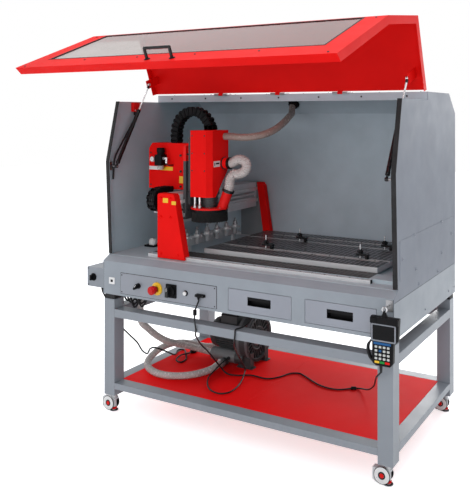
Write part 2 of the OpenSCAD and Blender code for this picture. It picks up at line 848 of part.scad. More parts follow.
module brackets() {
    color("silver") {
        for (x = hinge_x) fixed_hinge(x);
        mirrored_x() strut_stud();
        // hook for the handset, on the apron
        block([handset_x - 14, apron_y - 3, hook_z - 24], [handset_x + 14, apron_y, hook_z + 20]);
        bar([handset_x, apron_y - 2, hook_z], [handset_x, handset_y - 8, hook_z], 3);
        bar([handset_x, handset_y - 8, hook_z - 3], [handset_x, handset_y - 8, hook_z + 10], 3);
    }
}

// The lid's safety switch with its cable, and the tool length sensor on the deck.
module sensors() {
    top_z = brow_z - 2;
    lead_r = 5;
    lead = [[inner_w - 10, -200, top_z - 60], [inner_w - 10, -200, top_z - 72],
            [inner_w - 10, apron_y + 62, strut_foot[1] + 30], [inner_w - 10, apron_y + 58, strut_foot[1] - 70]];
    mirror([1, 0, 0]) {
        color("red") block([inner_w - 22, -222, top_z - 50], [inner_w, -172, top_z]);
        color("black") {
            bar([inner_w - 10, -200, top_z - 66], [inner_w - 10, -200, top_z - 50], 9);
            swept_tube(lead, 2 * lead_r, 10);
            bar(lead[3] - [1, 0, 0], lead[3] + [9, 0, 0], lead_r - 1);
        }
    }
    translate([sensor_at[0], sensor_at[1], deck_z]) {
        color("black") translate([-sensor_base / 2, -sensor_base / 2, 0])
            cube([sensor_base, sensor_base, 10]);
        color("white") translate([0, 0, 9]) cylinder(h = 28, r = sensor_r);
        color("silver") translate([0, 0, 36]) cylinder(h = 6, r = sensor_r * 0.7);
    }
}

// ---------------------------------------------------------------- blower

module blower() {
    foot_y = [blower_y - 70, blower_y + 70];
    color("dimgray") {
        difference() {
            translate([blower_x - blower_t, blower_y, blower_z]) rotate([0, 90, 0])
                cylinder(h = blower_t, r = blower_d / 2);
            translate([blower_x - 22, blower_y, blower_z]) rotate([0, 90, 0])
                cylinder(h = 23, r = blower_d / 2 - 14);
        }
        translate([blower_x - 24, blower_y, blower_z]) rotate([0, 90, 0]) cylinder(h = 14, r = 38);
        translate([blower_x - blower_t - 190, blower_y, blower_z]) rotate([0, 90, 0])
            cylinder(h = 190, r = blower_motor_d / 2);
        block([blower_x - 210, blower_y - 45, blower_z + 60],
              [blower_x - 110, blower_y + 45, blower_z + 105]);
        for (y = silencer_y)
            translate([blower_x - blower_t - silencer_l, y, silencer_z]) rotate([0, 90, 0])
                cylinder(h = silencer_l + 30, r = silencer_d / 2);
        // side port of the front silencer, and the gland of its cable
        bar(vacuum_port, vacuum_port + [0, 45, 0], vacuum_d / 2 + 3);
        bar([-320, 22, silencer_z], [-320, 40, silencer_z], 8);
        for (y = foot_y)
            block([blower_x - blower_t, y - 16, lower_rail_top], [blower_x, y + 16, blower_z - 60]);
    }
}

// ---------------------------------------------------------------- handset

module handset() {
    x = handset_x;
    top = handset_top;
    y0 = handset_y - handset_t / 2;
    y1 = handset_y + handset_t / 2;
    outline = [[x - 53, top + 6], [x - 53, top - 76], [x - 47, top - 90], [x - 47, top - 166], [x - 33, top - 180],
               [x + 26, top - 180], [x + 38, top - 166], [x + 40, top - 90], [x + 58, top - 78], [x + 62, top - 2],
               [x + 62, top + 6]];
    color("dimgray") {
        front_prism(outline, y0, y1);
        block([x - 53, y0 - 4, top - 20], [x + 62, y0, top + 6]);
        block([x + 34, y0 - 8, top - 28], [x + 62, y0 - 4, top + 2]);
        // ring that hangs on the hook, and its base
        translate([x, handset_y, hook_z - 3.8]) rotate([90, 0, 0])
            rotate_extrude() translate([9.5, 0]) circle(r = 2.5);
        bar([x, handset_y, top + 4], [x, handset_y, hook_z - 14], 4);
        translate([x, handset_y, top + 4]) cylinder(h = 8, r = 12);
    }
}

// ---------------------------------------------------------------- cords

module vacuum_hose() {
    color("rosybrown") {
        swept_tube(vacuum_feed, vacuum_d, 10);
        swept_tube(vacuum_loop, vacuum_d, 10);
    }
}

module mains_cord() {
    color("black") swept_tube(mains_route, mains_d, 8);
}

module stand_cables() {
    color("black") {
        swept_tube(handset_route, cable_d, 8);
        swept_tube(blower_route, cable_d, 8);
    }
}

module spindle_hose() {
    color("tan") swept_tube(spindle_hose_route, spindle_hose_d, 10);
}

module dust_hose() {
    color("mistyrose") swept_tube(dust_hose_route, dust_hose_d, 12);
}

module mains_plug() {
    tip = mains_route[len(mains_route) - 1];
    color("black") {
        block([tip[0] - 19, tip[1], lower_rail_top], [tip[0] + 19, tip[1] + 36, lower_rail_top + 18]);
        for (side = [-1, 1])
            bar([tip[0] + side * 9.5, tip[1] + 35, lower_rail_top + 9],
                [tip[0] + side * 9.5, tip[1] + 55, lower_rail_top + 9], 2.4);
    }
}

// ---------------------------------------------------------------- lid

// Puts children, drawn with the lid closed, where the open lid holds them.
module on_open_lid() {
    translate([0, hinge_y, hinge_z]) rotate([-lid_open, 0, 0])
        translate([0, -hinge_y, -hinge_z]) children();
}

front_leg = lid_line[3] - lid_line[2];
front_dir = unit(-front_leg);
front_in = [front_dir[1], -front_dir[0]];

// A point on the lid's glazed front leg: height along it from the lower lip, and depth inwards.
function on_front(along, inward) = lid_line[3] + along * front_dir + inward * front_in;

window_low = window_foot;
window_high = norm(front_leg) - 9;

module lid_shell() {
    with_lip = concat(lid_line, [lid_line[3] + [lip_back, lip_up]]);
    inner_line = reversed(moved_path(lid_line, lid_flange));
    // the flange: inside the sheet's outer face, from the rear edge round to the lip
    flange = concat(moved_path(with_lip, lid_sheet / 2),
                    [for (i = [1 : len(inner_line) - 1])
                        inner_line[i] - (i == len(inner_line) - 1 ? [4, 0] : [0, 0])]);
    color("red")
        on_open_lid() {
            difference() {
                union() {
                    side_prism(sheet_outline(with_lip, 0, lid_sheet), -half_w, half_w);
                    mirrored_x() side_prism(flange, half_w - lid_sheet, half_w);
                }
                side_prism([on_front(window_low, -5), on_front(window_high, -5), on_front(window_high, 5),
                            on_front(window_low, 5)], -half_w + window_side, half_w - window_side);
            }
            for (x = hinge_x) {
                difference() {
                    union() {
                        translate([x - knuckle_l / 2, hinge_y, hinge_z]) rotate([0, 90, 0])
                            cylinder(h = knuckle_l, r = knuckle_d / 2);
                        block([x - knuckle_l / 2, lid_rear - 14, hinge_z],
                              [x + knuckle_l / 2, hinge_y, hinge_z + leaf_t]);
                    }
                    translate([x - knuckle_l, hinge_y, hinge_z]) rotate([0, 90, 0])
                        cylinder(h = 2 * knuckle_l, r = pin_r + running_gap);
                }
            }
            // brackets that take the struts
            mirrored_x()
                block([strut_x + eye_w / 2 + seat_gap, strut_ball_closed[0] - 22, strut_ball_closed[1] - 10],
                      [strut_x + eye_w / 2 + seat_gap + 3, strut_ball_closed[0] + 22, roof_z - lid_sheet]);
        }
}

module lid_window() {
    overlap = 15;
    low = window_low - overlap;
    high = window_high + 3;
    near = lid_sheet;
    far = lid_sheet + pane_t;
    color("lightblue", 0.35)
        on_open_lid()
            side_prism([on_front(low, near), on_front(high, near), on_front(high, far), on_front(low, far)],
                       -half_w + window_side - overlap, half_w - window_side + overlap);
}

module lid_handle() {
    reach = 44;
    foot_x = 60;
    r = 6;
    at = on_front(34, 0);
    out = on_front(34, -reach);
    color("black")
        on_open_lid() {
            bar([-foot_x, out[0], out[1]], [foot_x, out[0], out[1]], r);
            for (x = [-foot_x, foot_x]) {
                bar([x, at[0], at[1]], [x, out[0], out[1]], r);
                translate([x, out[0], out[1]]) sphere(r = r);
            }
        }
}

// ---------------------------------------------------------------- struts

// Children are drawn along Y from the strut's foot pivot at the origin.
module on_strut(side) {
    translate([side * strut_x, strut_foot[0], strut_foot[1]]) rotate([strut_angle, 0, 0]) children();
}

// A round bar along Y on the strut's axis, from one distance to another.
module strut_bar(from, to, r) {
    translate([0, from, 0]) rotate([-90, 0, 0]) cylinder(h = to - from, r = r);
}

module strut_eye(at, bore) {
    difference() {
        translate([-eye_w / 2, at, 0]) rotate([0, 90, 0]) cylinder(h = eye_w, r = eye_r);
        if (bore > 0)
            translate([-eye_w, at, 0]) rotate([0, 90, 0]) cylinder(h = 2 * eye_w, r = bore);
    }
}

module strut_cylinder(side) {
    color("black")
        on_strut(side) {
            difference() {
                strut_eye(0, 0);
                translate([-eye_w, 0, 0]) rotate([0, 90, 0])
                    cylinder(h = 2 * eye_w, r = ball_pin_r + running_gap);
            }
            difference() {
                strut_bar(7, 20, 5);
                translate([-eye_w, 0, 0]) rotate([0, 90, 0])
                    cylinder(h = 2 * eye_w, r = ball_pin_r + running_gap);
            }
            difference() {
                strut_bar(18, 18 + barrel_l, barrel_r);
                strut_bar(30, 10 + barrel_l, barrel_r - barrel_wall);
                strut_bar(10, 30 + barrel_l, rod_r + running_gap);
            }
        }
}

module strut_rod(side) {
    piston_at = 180;
    color("silver")
        on_strut(side) {
            strut_bar(piston_at, strut_len - 4, rod_r);
            strut_bar(piston_at, piston_at + 14, barrel_r - barrel_wall - running_gap);
            strut_eye(strut_len, 0);
        }
}

module left_strut_cylinder() { strut_cylinder(-1); }
module right_strut_cylinder() { strut_cylinder(1); }
module left_strut_rod() { strut_rod(-1); }
module right_strut_rod() { strut_rod(1); }

// ---------------------------------------------------------------- gantry

// A leaning upright: outline of [x, z] points, wider at its foot.
function upright_outline(top_z) =
    [[beam_x0, upright_foot], [beam_x0, top_z - 8], [beam_x0 + 8, top_z], [beam_x1 - 10, top_z],
     [beam_x1, top_z - 12], [beam_x1 + upright_spread, upright_foot]];

module gantry_uprights() {
    rear_y = rail_y[1];
    strip_w = 52;
    strip_shift = 48;
    color("red")
        difference() {
            front_prism(upright_outline(upright_top), upright_y0, upright_y0 + upright_t);
            // way over the rail
            block([beam_x0 - 1, rail_y[0] - rail_w / 2 - slip, upright_foot - 1],
                  [beam_x1 + upright_spread + 1, rail_y[0] + rail_w / 2 + slip, deck_z + rail_h + slip]);
            // hollow of the casting
            block([beam_x0 + 8, upright_y0 + 10, deck_z + 50],
                  [beam_x1 - 20, upright_y0 + 30, beam_z0 - 20]);
        }
    color("gray")
        difference() {
            front_prism([[beam_x0, upright_foot], [beam_x0, beam_top], [beam_x1 + 6, beam_top],
                         [beam_x1 + 6 + strip_shift, upright_foot]], beam_y1, beam_y1 + 26);
            block([beam_x0 - 1, rear_y - rail_w / 2 - slip, upright_foot - 1],
                  [beam_x1 + 2 * upright_spread, rear_y + rail_w / 2 + slip, deck_z + rail_h + slip]);
        }
    color("red")
        front_prism([[beam_x1 + 6 + strip_shift * 0.9, deck_z + rail_h + 2], [beam_x1 + 6, beam_top],
                     [beam_x1 + strip_w - 14, beam_top], [beam_x1 + strip_w, beam_top - 16],
                     [beam_x1 + strip_w + strip_shift * 0.9, deck_z + rail_h + 2]], beam_y1 - 4, beam_y1 + 26);
}

module gantry_beam() {
    wall = 8;
    color("gray")
        difference() {
            union() {
                block([beam_x0, beam_y0, beam_z0], [beam_x1, beam_y1, beam_top]);
                for (z = track_z)
                    block([beam_x1, beam_y0, z - track_w / 2],
                          [beam_x1 + track_t, beam_y1, z + track_w / 2]);
                // tray that carries the cable chain
                block([beam_x0 - tray_w, beam_y0 + 15, beam_z0 + 36],
                      [beam_x0, beam_y1 - 30, beam_z0 + 41]);
            }
            block([beam_x0 + wall, beam_y0 - 1, beam_z0 + wall],
                  [beam_x1 - groove_d - wall, beam_y1 + 1, beam_top - wall]);
            block([beam_x1 - groove_d, beam_y0 + 16, screw_z - groove_w / 2],
                  [beam_x1 + 1, beam_y1 - 16, screw_z + groove_w / 2]);
            // bearings of the ball screw, in the beam's ends
            translate([screw_x, beam_y0 + 6, screw_z]) rotate([-90, 0, 0])
                cylinder(h = beam_y1 - beam_y0 - 12, r = screw_d / 2 + running_gap);
        }
}

module y_ball_screw() {
    color("silver")
        translate([screw_x, beam_y0 + 7, screw_z]) rotate([-90, 0, 0])
            cylinder(h = beam_y1 - beam_y0 - 14, r = screw_d / 2);
}

// A flat loop of cable chain: straight run, half turn, straight run.
module chain_bend(inner_r, outer_r, from, to, steps = 24) {
    polygon(concat([for (k = [0 : steps]) let (a = from + (to - from) * k / steps)
                       outer_r * [cos(a), sin(a)]],
                   [for (k = [steps : -1 : 0]) let (a = from + (to - from) * k / steps)
                       inner_r * [cos(a), sin(a)]]));
}

module y_cable_chain() {
    chain_w = 50;
    chain_t = 30;
    inner_r = 30;
    outer_r = inner_r + chain_t;
    bend = [-285, beam_z0 + 41 + outer_r + seat_gap];
    x0 = beam_x0 - tray_w + 1;
    run_end = 60;
    color("black")
        translate([x0, 0, 0]) rotate([90, 0, 90]) linear_extrude(chain_w) {
            translate(bend) chain_bend(inner_r, outer_r, 90, 270);
            translate([bend[0], bend[1] + inner_r]) square([cover_y - bend[0], chain_t]);
            translate([bend[0], bend[1] - outer_r]) square([run_end - bend[0], chain_t]);
        }
}

// ---------------------------------------------------------------- carriage

module carriage_cover() {
    wall = 2;
    step_x = beam_x1 + 1;
    step_z = cover_z1 - 77;
    depth = 80;
    outline = [[cover_x0, cover_z0], [cover_x0, cover_z1 - 28], [cover_x0 + 22, cover_z1], [step_x, cover_z1],
               [step_x, step_z], [cover_x1, step_z], [cover_x1, cover_z0]];
    color("red")
        difference() {
            front_prism(outline, cover_y, cover_y + depth);
            block([cover_x0 + wall, cover_y + wall, cover_z0 - 1],
                  [cover_x1 - wall, cover_y + depth + 1, cover_z1 - 30]);
            block([cover_x0 + 24, cover_y + wall, cover_z1 - 31],
                  [step_x - wall, cover_y + depth + 1, cover_z1 - wall]);
        }
}

module carriage_plate() {
    post_x0 = -426;
    post_x1 = -398;
    color("silver")
        difference() {
            union() {
                block([plate_x0, plate_y[0], beam_z0 + 15], [plate_x1, plate_y[1], plate_top]);
                // nut on the ball screw
                block([screw_x - 11, plate_y[0] + 30, screw_z - 12],
                      [plate_x0 + 1, plate_y[0] + 90, screw_z + 12]);
                for (y = [plate_y[0] + 25, plate_y[1] - 25])
                    block([plate_x1, y - 6, beam_top - 50], [plate_x1 + z_rail_t, y + 6, plate_top]);
                // column beside the cover and the web that ties it in
                block([post_x0, cover_y + 2, beam_top + seat_gap + 2],
                      [post_x1, cover_y + 40, cover_z1 - 79]);
                block([post_x1 - 1, cover_y + 20, beam_top + seat_gap + 2],
                      [plate_x0 + 1, cover_y + 36, cover_z1 - 79]);
            }
            for (z = track_z)
                block([plate_x0 - 1, plate_y[0] - 1, z - track_w / 2 - slip],
                      [beam_x1 + track_t + slip, plate_y[1] + 1, z + track_w / 2 + slip]);
            translate([screw_x, plate_y[0], screw_z]) rotate([-90, 0, 0])
                cylinder(h = 120, r = screw_d / 2 + running_gap);
        }
}

module air_regulator() {
    x = -565;
    z0 = cover_z0 + 118;
    front = cover_y - 45;
    color("black") {
        block([x - 21, front, z0], [x + 21, cover_y, z0 + 55]);
        translate([x, (front + cover_y) / 2, z0 + 54]) cylinder(h = 34, r = 19);
        translate([x, (front + cover_y) / 2, z0 - 22]) cylinder(h = 24, r = 16);
    }
    color("silver") {
        bar([x - 44, front + 6, z0 + 31], [x - 44, front + 22, z0 + 31], 14);
        bar([x - 44, front + 14, z0 + 31], [x - 20, front + 14, z0 + 31], 5);
        bar([x + 20, front + 18, z0 + 36], [x + 40, front + 18, z0 + 36], 7);
        bar([x + 40, front + 18, z0 + 40], [x + 40, front + 18, z0 + 12], 7);
    }
}

module z_cable_chain() {
    chain_w = 48;
    inner_r = 82;
    outer_r = 130;
    foot_x = -511;
    mid = foot_x + (inner_r + outer_r) / 2;
    bend_z = cover_z1 + 54;
    color("black")
        difference() {
            translate([0, cover_y + 62, 0]) rotate([90, 0, 0]) linear_extrude(chain_w) {
                translate([mid, bend_z]) chain_bend(inner_r, outer_r, 0, 180);
                translate([mid - outer_r, cover_z1]) square([outer_r - inner_r, bend_z - cover_z1]);
            }
            // the loop's right end stops just above the spindle's cover
            block([mid, cover_y, bend_z - 1], [mid + outer_r + 1, cover_y + 80, hood_z[1] + seat_gap]);
        }
}

// ---------------------------------------------------------------- spindle

module spindle_cover() {
    s = hood_sheet;
    outline = [[hood_x[0], hood_y[1]], [hood_x[0], hood_y[0]], [hood_x[1] - hood_chamfer, hood_y[0]],
               [hood_x[1], hood_y[0] + hood_chamfer], [hood_x[1], hood_y[1]]];
    inner = [[hood_x[0] - 1, hood_y[1] + 1], [hood_x[0] - 1, hood_y[0] + s],
             [hood_x[1] - hood_chamfer - s / 2, hood_y[0] + s],
             [hood_x[1] - s, hood_y[0] + hood_chamfer + s / 2], [hood_x[1] - s, hood_y[1] + 1]];
    color("red") {
        difference() {
            translate([0, 0, hood_z[0]]) linear_extrude(hood_z[1] - hood_z[0]) polygon(outline);
            translate([0, 0, hood_z[0] - 1]) linear_extrude(hood_z[1] - hood_z[0] + 1 - s) polygon(inner);
            // slanting lower edge of the right side
            side_prism([[hood_y[0] + 45, hood_z[0] - 1], [hood_y[1] + 1, hood_z[0] - 1],
                        [hood_y[1] + 1, hood_z[0] + 130]],
                       hood_x[1] - 10, hood_x[1] + 1);
        }
        bar([hood_x[1] - 1, -170, 1212], [-184, -170, 1212], 27);
    }
}

module spindle_motor() {
    plate_x = plate_x1 + z_rail_t + slip;
    color("dimgray")
        difference() {
            union() {
                translate([spindle_x, spindle_y, hood_z[0] + 8]) cylinder(h = 250, r = spindle_d / 2);
                translate([spindle_x, spindle_y, shoe_z + shoe_t + 1])
                    cylinder(h = hood_z[0] + 10 - shoe_z - shoe_t - 1, r = 40);
                block([plate_x, plate_y[0] + 5, hood_z[0] + 22],
                      [hood_x[0] + 2, plate_y[1] - 5, hood_z[1] - 34]);
                for (z = [hood_z[0] + 60, hood_z[0] + 190])
                    block([hood_x[0], spindle_y - 66, z], [spindle_x, spindle_y + 50, z + 42]);
            }
            translate([spindle_x, spindle_y, shoe_z]) cylinder(h = 60, r = 12 + running_gap);
        }
}

module spindle_nose() {
    color("silver")
        translate([spindle_x, spindle_y, 0]) {
            translate([0, 0, shoe_z - 40]) cylinder(h = 40 + shoe_t + 1 - seat_gap, r = nose_r);
            translate([0, 0, shoe_z]) cylinder(h = 58, r = 12);
            translate([0, 0, shoe_z - 54]) cylinder(h = 16, r1 = 5, r2 = 14);
        }
}

module dust_shoe() {
    rod_spots = [[spindle_x - 40, spindle_y - 62], [spindle_x - 12, spindle_y - 62]];
    color("red")
        difference() {
            union() {
                translate([spindle_x, spindle_y, shoe_z]) cylinder(h = shoe_t, r = brush_d / 2 + 2);
                bar(dust_stub, dust_port, dust_hose_d / 2);
            }
            translate([spindle_x, spindle_y, shoe_z - 1]) cylinder(h = shoe_t + 2, r = 44);
            translate([spindle_x, spindle_y, shoe_z - 40]) cylinder(h = 40, r = brush_d / 2 + 4);
        }
    color("silver")
        for (spot = rod_spots)
            translate([spot[0], spot[1], shoe_z + shoe_t])
                cylinder(h = hood_z[0] + 60 - shoe_z - shoe_t, r = 5);
}

module dust_brush() {
    color("black")
        translate([spindle_x, spindle_y, shoe_z - brush_h])
            difference() {
                cylinder(h = brush_h, r = brush_d / 2);
                translate([0, 0, -1]) cylinder(h = brush_h + 2, r = brush_d / 2 - brush_wall);
            }
}

// ---------------------------------------------------------------- casters

module caster_swivel(corner) {
    half = wheel_w / 2 + cheek_gap;
    color("white")
        translate([corner[0] * post_x, corner[1] * post_y, 0]) {
            difference() {
                union() {
                    for (side = [-1, 1])
                        translate([0, side * (half + cheek_t / 2) - cheek_t / 2, 0])
                            block([-caster_trail - 24, 0, 14], [2, cheek_t, axle_z + 34]);
                    block([-caster_trail - 24, -half - cheek_t, axle_z + 28],
                          [15, half + cheek_t, axle_z + 34]);
                    translate([0, 0, 20]) cylinder(h = caster_h - 21, r = 11);
                    translate([0, 0, foot_t - 1]) cylinder(h = 20, r = 5);
                    translate([0, 0, caster_h - 4]) cylinder(h = 4 - seat_gap, r = 24);
                }
                translate([-caster_trail, 0, axle_z]) rotate([90, 0, 0])
                    cylinder(h = wheel_w + 2 * cheek_gap, r = wheel_d / 2 + 1, center = true);
            }
            translate([0, 0, caster_h - 2]) cylinder(h = stem_in_post + 8, r = stem_r);
            translate([-caster_trail, 0, axle_z]) rotate([90, 0, 0])
                cylinder(h = 2 * (half + cheek_t), r = axle_r, center = true);
            cylinder(h = foot_t, r = foot_d / 2 * 0.55);
            cylinder(h = foot_t / 2, r = foot_d / 2);
            translate([0, 0, 9]) cylinder(h = 7, r = thumb_r * 0.85);
        }
}

module caster_wheel(corner) {
    color("dimgray")
        translate([corner[0] * post_x - caster_trail, corner[1] * post_y, axle_z]) rotate([90, 0, 0])
            difference() {
                cylinder(h = wheel_w, r = wheel_d / 2, center = true);
                cylinder(h = wheel_w + 2, r = axle_r + running_gap, center = true);
            }
}

module caster_swivel_fl() { caster_swivel(CORNERS[0]); }
module caster_swivel_fr() { caster_swivel(CORNERS[1]); }
module caster_swivel_rl() { caster_swivel(CORNERS[2]); }
module caster_swivel_rr() { caster_swivel(CORNERS[3]); }
module caster_wheel_fl() { caster_wheel(CORNERS[0]); }
module caster_wheel_fr() { caster_wheel(CORNERS[1]); }
module caster_wheel_rl() { caster_wheel(CORNERS[2]); }
module caster_wheel_rr() { caster_wheel(CORNERS[3]); }

// ---------------------------------------------------------------- assembly

module placed() {
    translate(stand_centre) children();
}

placed() stand_posts();
placed() stand_rails();
placed() stand_shelf();
placed() rubber_pads_and_trims();
placed() base_tray();
placed() side_panels();
placed() rear_shell();
placed() deck_plate();
placed() x_rails();
placed() worktable();
placed() table_clamps();
placed() tool_rack();
placed() tool_holders();
placed() control_panel();
placed() side_switch_box();
placed() brackets();
placed() sensors();
placed() blower();
placed() handset();
placed() vacuum_hose();
placed() mains_cord();
placed() mains_plug();
placed() stand_cables();
placed() lid_shell();
placed() lid_window();
placed() lid_handle();
placed() left_strut_cylinder();
placed() right_strut_cylinder();
placed() left_strut_rod();
placed() right_strut_rod();
placed() left_drawer();
placed() right_drawer();
placed() gantry_uprights();
placed() gantry_beam();
placed() y_ball_screw();
placed() y_cable_chain();
placed() carriage_cover();
placed() carriage_plate();
placed() air_regulator();
placed() z_cable_chain();
placed() spindle_cover();
placed() spindle_motor();
placed() dust_shoe();
placed() dust_brush();
placed() dust_hose();
placed() spindle_hose();
placed() spindle_nose();
placed() estop_button();
placed() mode_selector();
placed() main_switch_knob();
placed() start_button();
placed() side_switch_knob();
placed() caster_swivel_fl();
placed() caster_swivel_fr();
placed() caster_swivel_rl();
placed() caster_swivel_rr();
placed() caster_wheel_fl();
placed() caster_wheel_fr();
placed() caster_wheel_rl();
placed() caster_wheel_rr();
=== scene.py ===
"""Looks of an enclosed milling machine on its stand: camera, cords, finishes and fine parts."""

import math

import bmesh
import bpy
from mathutils import Matrix, Vector


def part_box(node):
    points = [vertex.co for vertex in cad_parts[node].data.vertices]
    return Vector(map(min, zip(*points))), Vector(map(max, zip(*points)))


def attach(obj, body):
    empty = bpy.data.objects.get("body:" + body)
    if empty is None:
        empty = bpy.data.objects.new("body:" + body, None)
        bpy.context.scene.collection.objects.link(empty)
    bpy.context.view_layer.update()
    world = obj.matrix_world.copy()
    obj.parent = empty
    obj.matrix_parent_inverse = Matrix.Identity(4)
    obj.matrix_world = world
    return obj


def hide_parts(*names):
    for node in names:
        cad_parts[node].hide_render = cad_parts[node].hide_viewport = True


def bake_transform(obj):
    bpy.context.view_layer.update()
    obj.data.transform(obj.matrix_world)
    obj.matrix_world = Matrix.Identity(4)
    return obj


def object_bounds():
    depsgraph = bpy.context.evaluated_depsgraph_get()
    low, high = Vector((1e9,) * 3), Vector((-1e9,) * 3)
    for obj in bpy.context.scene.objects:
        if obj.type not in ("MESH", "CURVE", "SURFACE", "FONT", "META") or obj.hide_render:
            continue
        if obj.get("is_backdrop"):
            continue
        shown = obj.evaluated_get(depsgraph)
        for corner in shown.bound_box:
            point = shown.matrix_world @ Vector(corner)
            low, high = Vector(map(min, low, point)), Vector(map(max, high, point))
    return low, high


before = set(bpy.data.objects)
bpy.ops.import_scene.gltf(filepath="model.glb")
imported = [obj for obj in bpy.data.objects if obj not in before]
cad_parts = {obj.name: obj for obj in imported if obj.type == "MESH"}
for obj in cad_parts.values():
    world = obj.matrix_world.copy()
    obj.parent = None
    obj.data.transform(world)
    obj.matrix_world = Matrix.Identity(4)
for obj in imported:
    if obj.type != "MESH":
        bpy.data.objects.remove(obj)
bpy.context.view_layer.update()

MM = 0.001
post_low, post_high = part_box("stand_posts")
CENTRE = Vector(((post_low.x + post_high.x) / 2, (post_low.y + post_high.y) / 2, 0))
X, Y, Z = Vector((1, 0, 0)), Vector((0, 1, 0)), Vector((0, 0, 1))
SIDES = (-1, 1)
TINY = 1e-6


def metres(point):
    """A point given in millimetres about the centre of the stand, in the shared frame."""
    return CENTRE + Vector(point) * MM


def span(node):
    """Lowest and highest corner of a CAD node, in millimetres about the centre of the stand."""
    low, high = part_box(node)
    return (low - CENTRE) / MM, (high - CENTRE) / MM


def middle(node):
    """The middle of a CAD node's box, in millimetres about the centre of the stand."""
    low, high = span(node)
    return (low + high) / 2


# -------- camera

camera = bpy.data.objects.new("camera", bpy.data.cameras.new("camera"))
bpy.context.scene.collection.objects.link(camera)
camera.location = (1.7523, -2.6201, 1.4503)
camera.rotation_euler = (math.radians(90), 0, math.radians(27.889))
camera.data.lens = 49.07
camera.data.sensor_width = 36
camera.data.shift_x = -0.157
camera.data.shift_y = -0.273
bpy.context.scene.camera = camera
bpy.context.scene.view_settings.view_transform = "Standard"


# -------- mesh building


def basis(axis):
    """Two directions square to an axis."""
    axis = Vector(axis).normalized()
    side = X if abs(axis.x) < 0.7 else Y
    u = axis.cross(side).normalized()
    return u, axis.cross(u)


class Build:
    """A mesh under construction, in millimetres about the centre of the stand."""

    def __init__(self):
        self.bm = bmesh.new()
        self.index = 0

    def use(self, index):
        """Faces added from now on take this material of the piece."""
        self.index = index
        return self

    def face(self, verts):
        made = self.bm.faces.new(verts)
        made.material_index = self.index

    def loft(self, rings, closed_ends=True):
        """Skins rings of points, each ring with as many points as the last."""
        rows = [[self.bm.verts.new(p) for p in ring] for ring in rings]
        count = len(rows[0])
        for a, b in zip(rows, rows[1:]):
            for i in range(count):
                j = (i + 1) % count
                self.face((a[i], a[j], b[j], b[i]))
        if closed_ends:
            self.face(list(reversed(rows[0])))
            self.face(rows[-1])
        return self

    def box(self, low, high):
        (x0, y0, z0), (x1, y1, z1) = low, high
        ring = [(x0, y0), (x1, y0), (x1, y1), (x0, y1)]
        return self.loft([[(x, y, z) for x, y in ring] for z in (z0, z1)])

    def prism(self, outline, origin, u, v, depth):
        """An outline of (a, b) pairs along u and v, pushed along depth."""
        origin, u, v, depth = Vector(origin), Vector(u), Vector(v), Vector(depth)
        near = [origin + a * u + b * v for a, b in outline]
        return self.loft([near, [p + depth for p in near]])

    def tile(self, size, at, depth, facing=Y):
        """A plate with round corners, of (width, height, radius), pushed along the axis it faces."""
        u, v = (Y if facing is X else X), (Y if facing is Z else Z)
        return self.prism(rounded(*size), at, u, v, depth * facing)

    def lathe(self, profile, base, axis, sides=28):
        """Turns a profile of (radius, height) pairs about an axis through base."""
        base, axis = Vector(base), Vector(axis).normalized()
        u, v = basis(axis)
        rows = []
        for r, h in profile:
            if r < TINY:
                rows.append([self.bm.verts.new(base + h * axis)])
                continue
            ring = [polar(base + h * axis, r, 360 * k / sides, u, v) for k in range(sides)]
            rows.append([self.bm.verts.new(p) for p in ring])
        for a, b in zip(rows, rows[1:]):
            for i in range(sides):
                j = (i + 1) % sides
                if len(a) == 1 and len(b) > 1:
                    self.face((a[0], b[j], b[i]))
                elif len(b) == 1 and len(a) > 1:
                    self.face((a[i], a[j], b[0]))
                elif len(a) > 1:
                    self.face((a[i], a[j], b[j], b[i]))
        for row, flip in ((rows[0], True), (rows[-1], False)):
            if len(row) > 1:
                self.face(list(reversed(row)) if flip else row)
        return self

    def rod(self, start, end, r, sides=20, edge=0.0):
        """A round bar with chamfered ends."""
        start, end = Vector(start), Vector(end)
        length = (end - start).length
        profile = [(r - edge, 0), (r, edge), (r, length - edge), (r - edge, length)]
        if edge == 0:
            profile = profile[1:3]
        return self.lathe(profile, start, end - start, sides)

    def tube(self, line, radius, sides=12):
        """A tube along a line. The radius is a number or a function of the distance along it."""
        line = [Vector(p) for p in line]
        heads = headings(line)
        u, gone, rings = basis(heads[0])[0], 0.0, []
        for i, (p, head) in enumerate(zip(line, heads)):
            u = (u - u.dot(head) * head).normalized()
            v = head.cross(u)
            gone += (p - line[i - 1]).length if i else 0
            r = radius(gone) if callable(radius) else radius
            rings.append([polar(p, r, 360 * k / sides, u, v) for k in range(sides)])
        return self.loft(rings)

    def button_bolt(self, spot, axis, r=6.0):
        """A button-head screw with its socket."""
        shape = [(1.0, 0), (1.0, 0.2), (0.84, 0.5), (0.6, 0.66), (0.45, 0.68), (0.42, 0.3), (0, 0.3)]
        return self.lathe([(r * a, r * h) for a, h in shape], spot, axis, 18)

    def cap_bolt(self, spot, axis, r=5.0, tall=1.0):
        """A socket-head cap screw."""
        shape = [(1.0, 0), (1.0, 0.85), (0.9, 1.0), (0.5, 1.0), (0.46, 0.45), (0, 0.45)]
        return self.lathe([(r * a, r * tall * h) for a, h in shape], spot, axis, 18)

    def hex_bolt(self, spot, axis, r=7.0):
        """A hexagon head on its washer."""
        self.lathe([(1.35 * r, 0), (1.35 * r, 1.2), (1.2 * r, 1.5), (0, 1.5)], spot, axis, 24)
        head = Vector(spot) + 1.5 * Vector(axis).normalized()
        return self.lathe([(r, 0), (r, 0.5 * r), (0.86 * r, 0.62 * r), (0, 0.62 * r)], head, axis, 6)


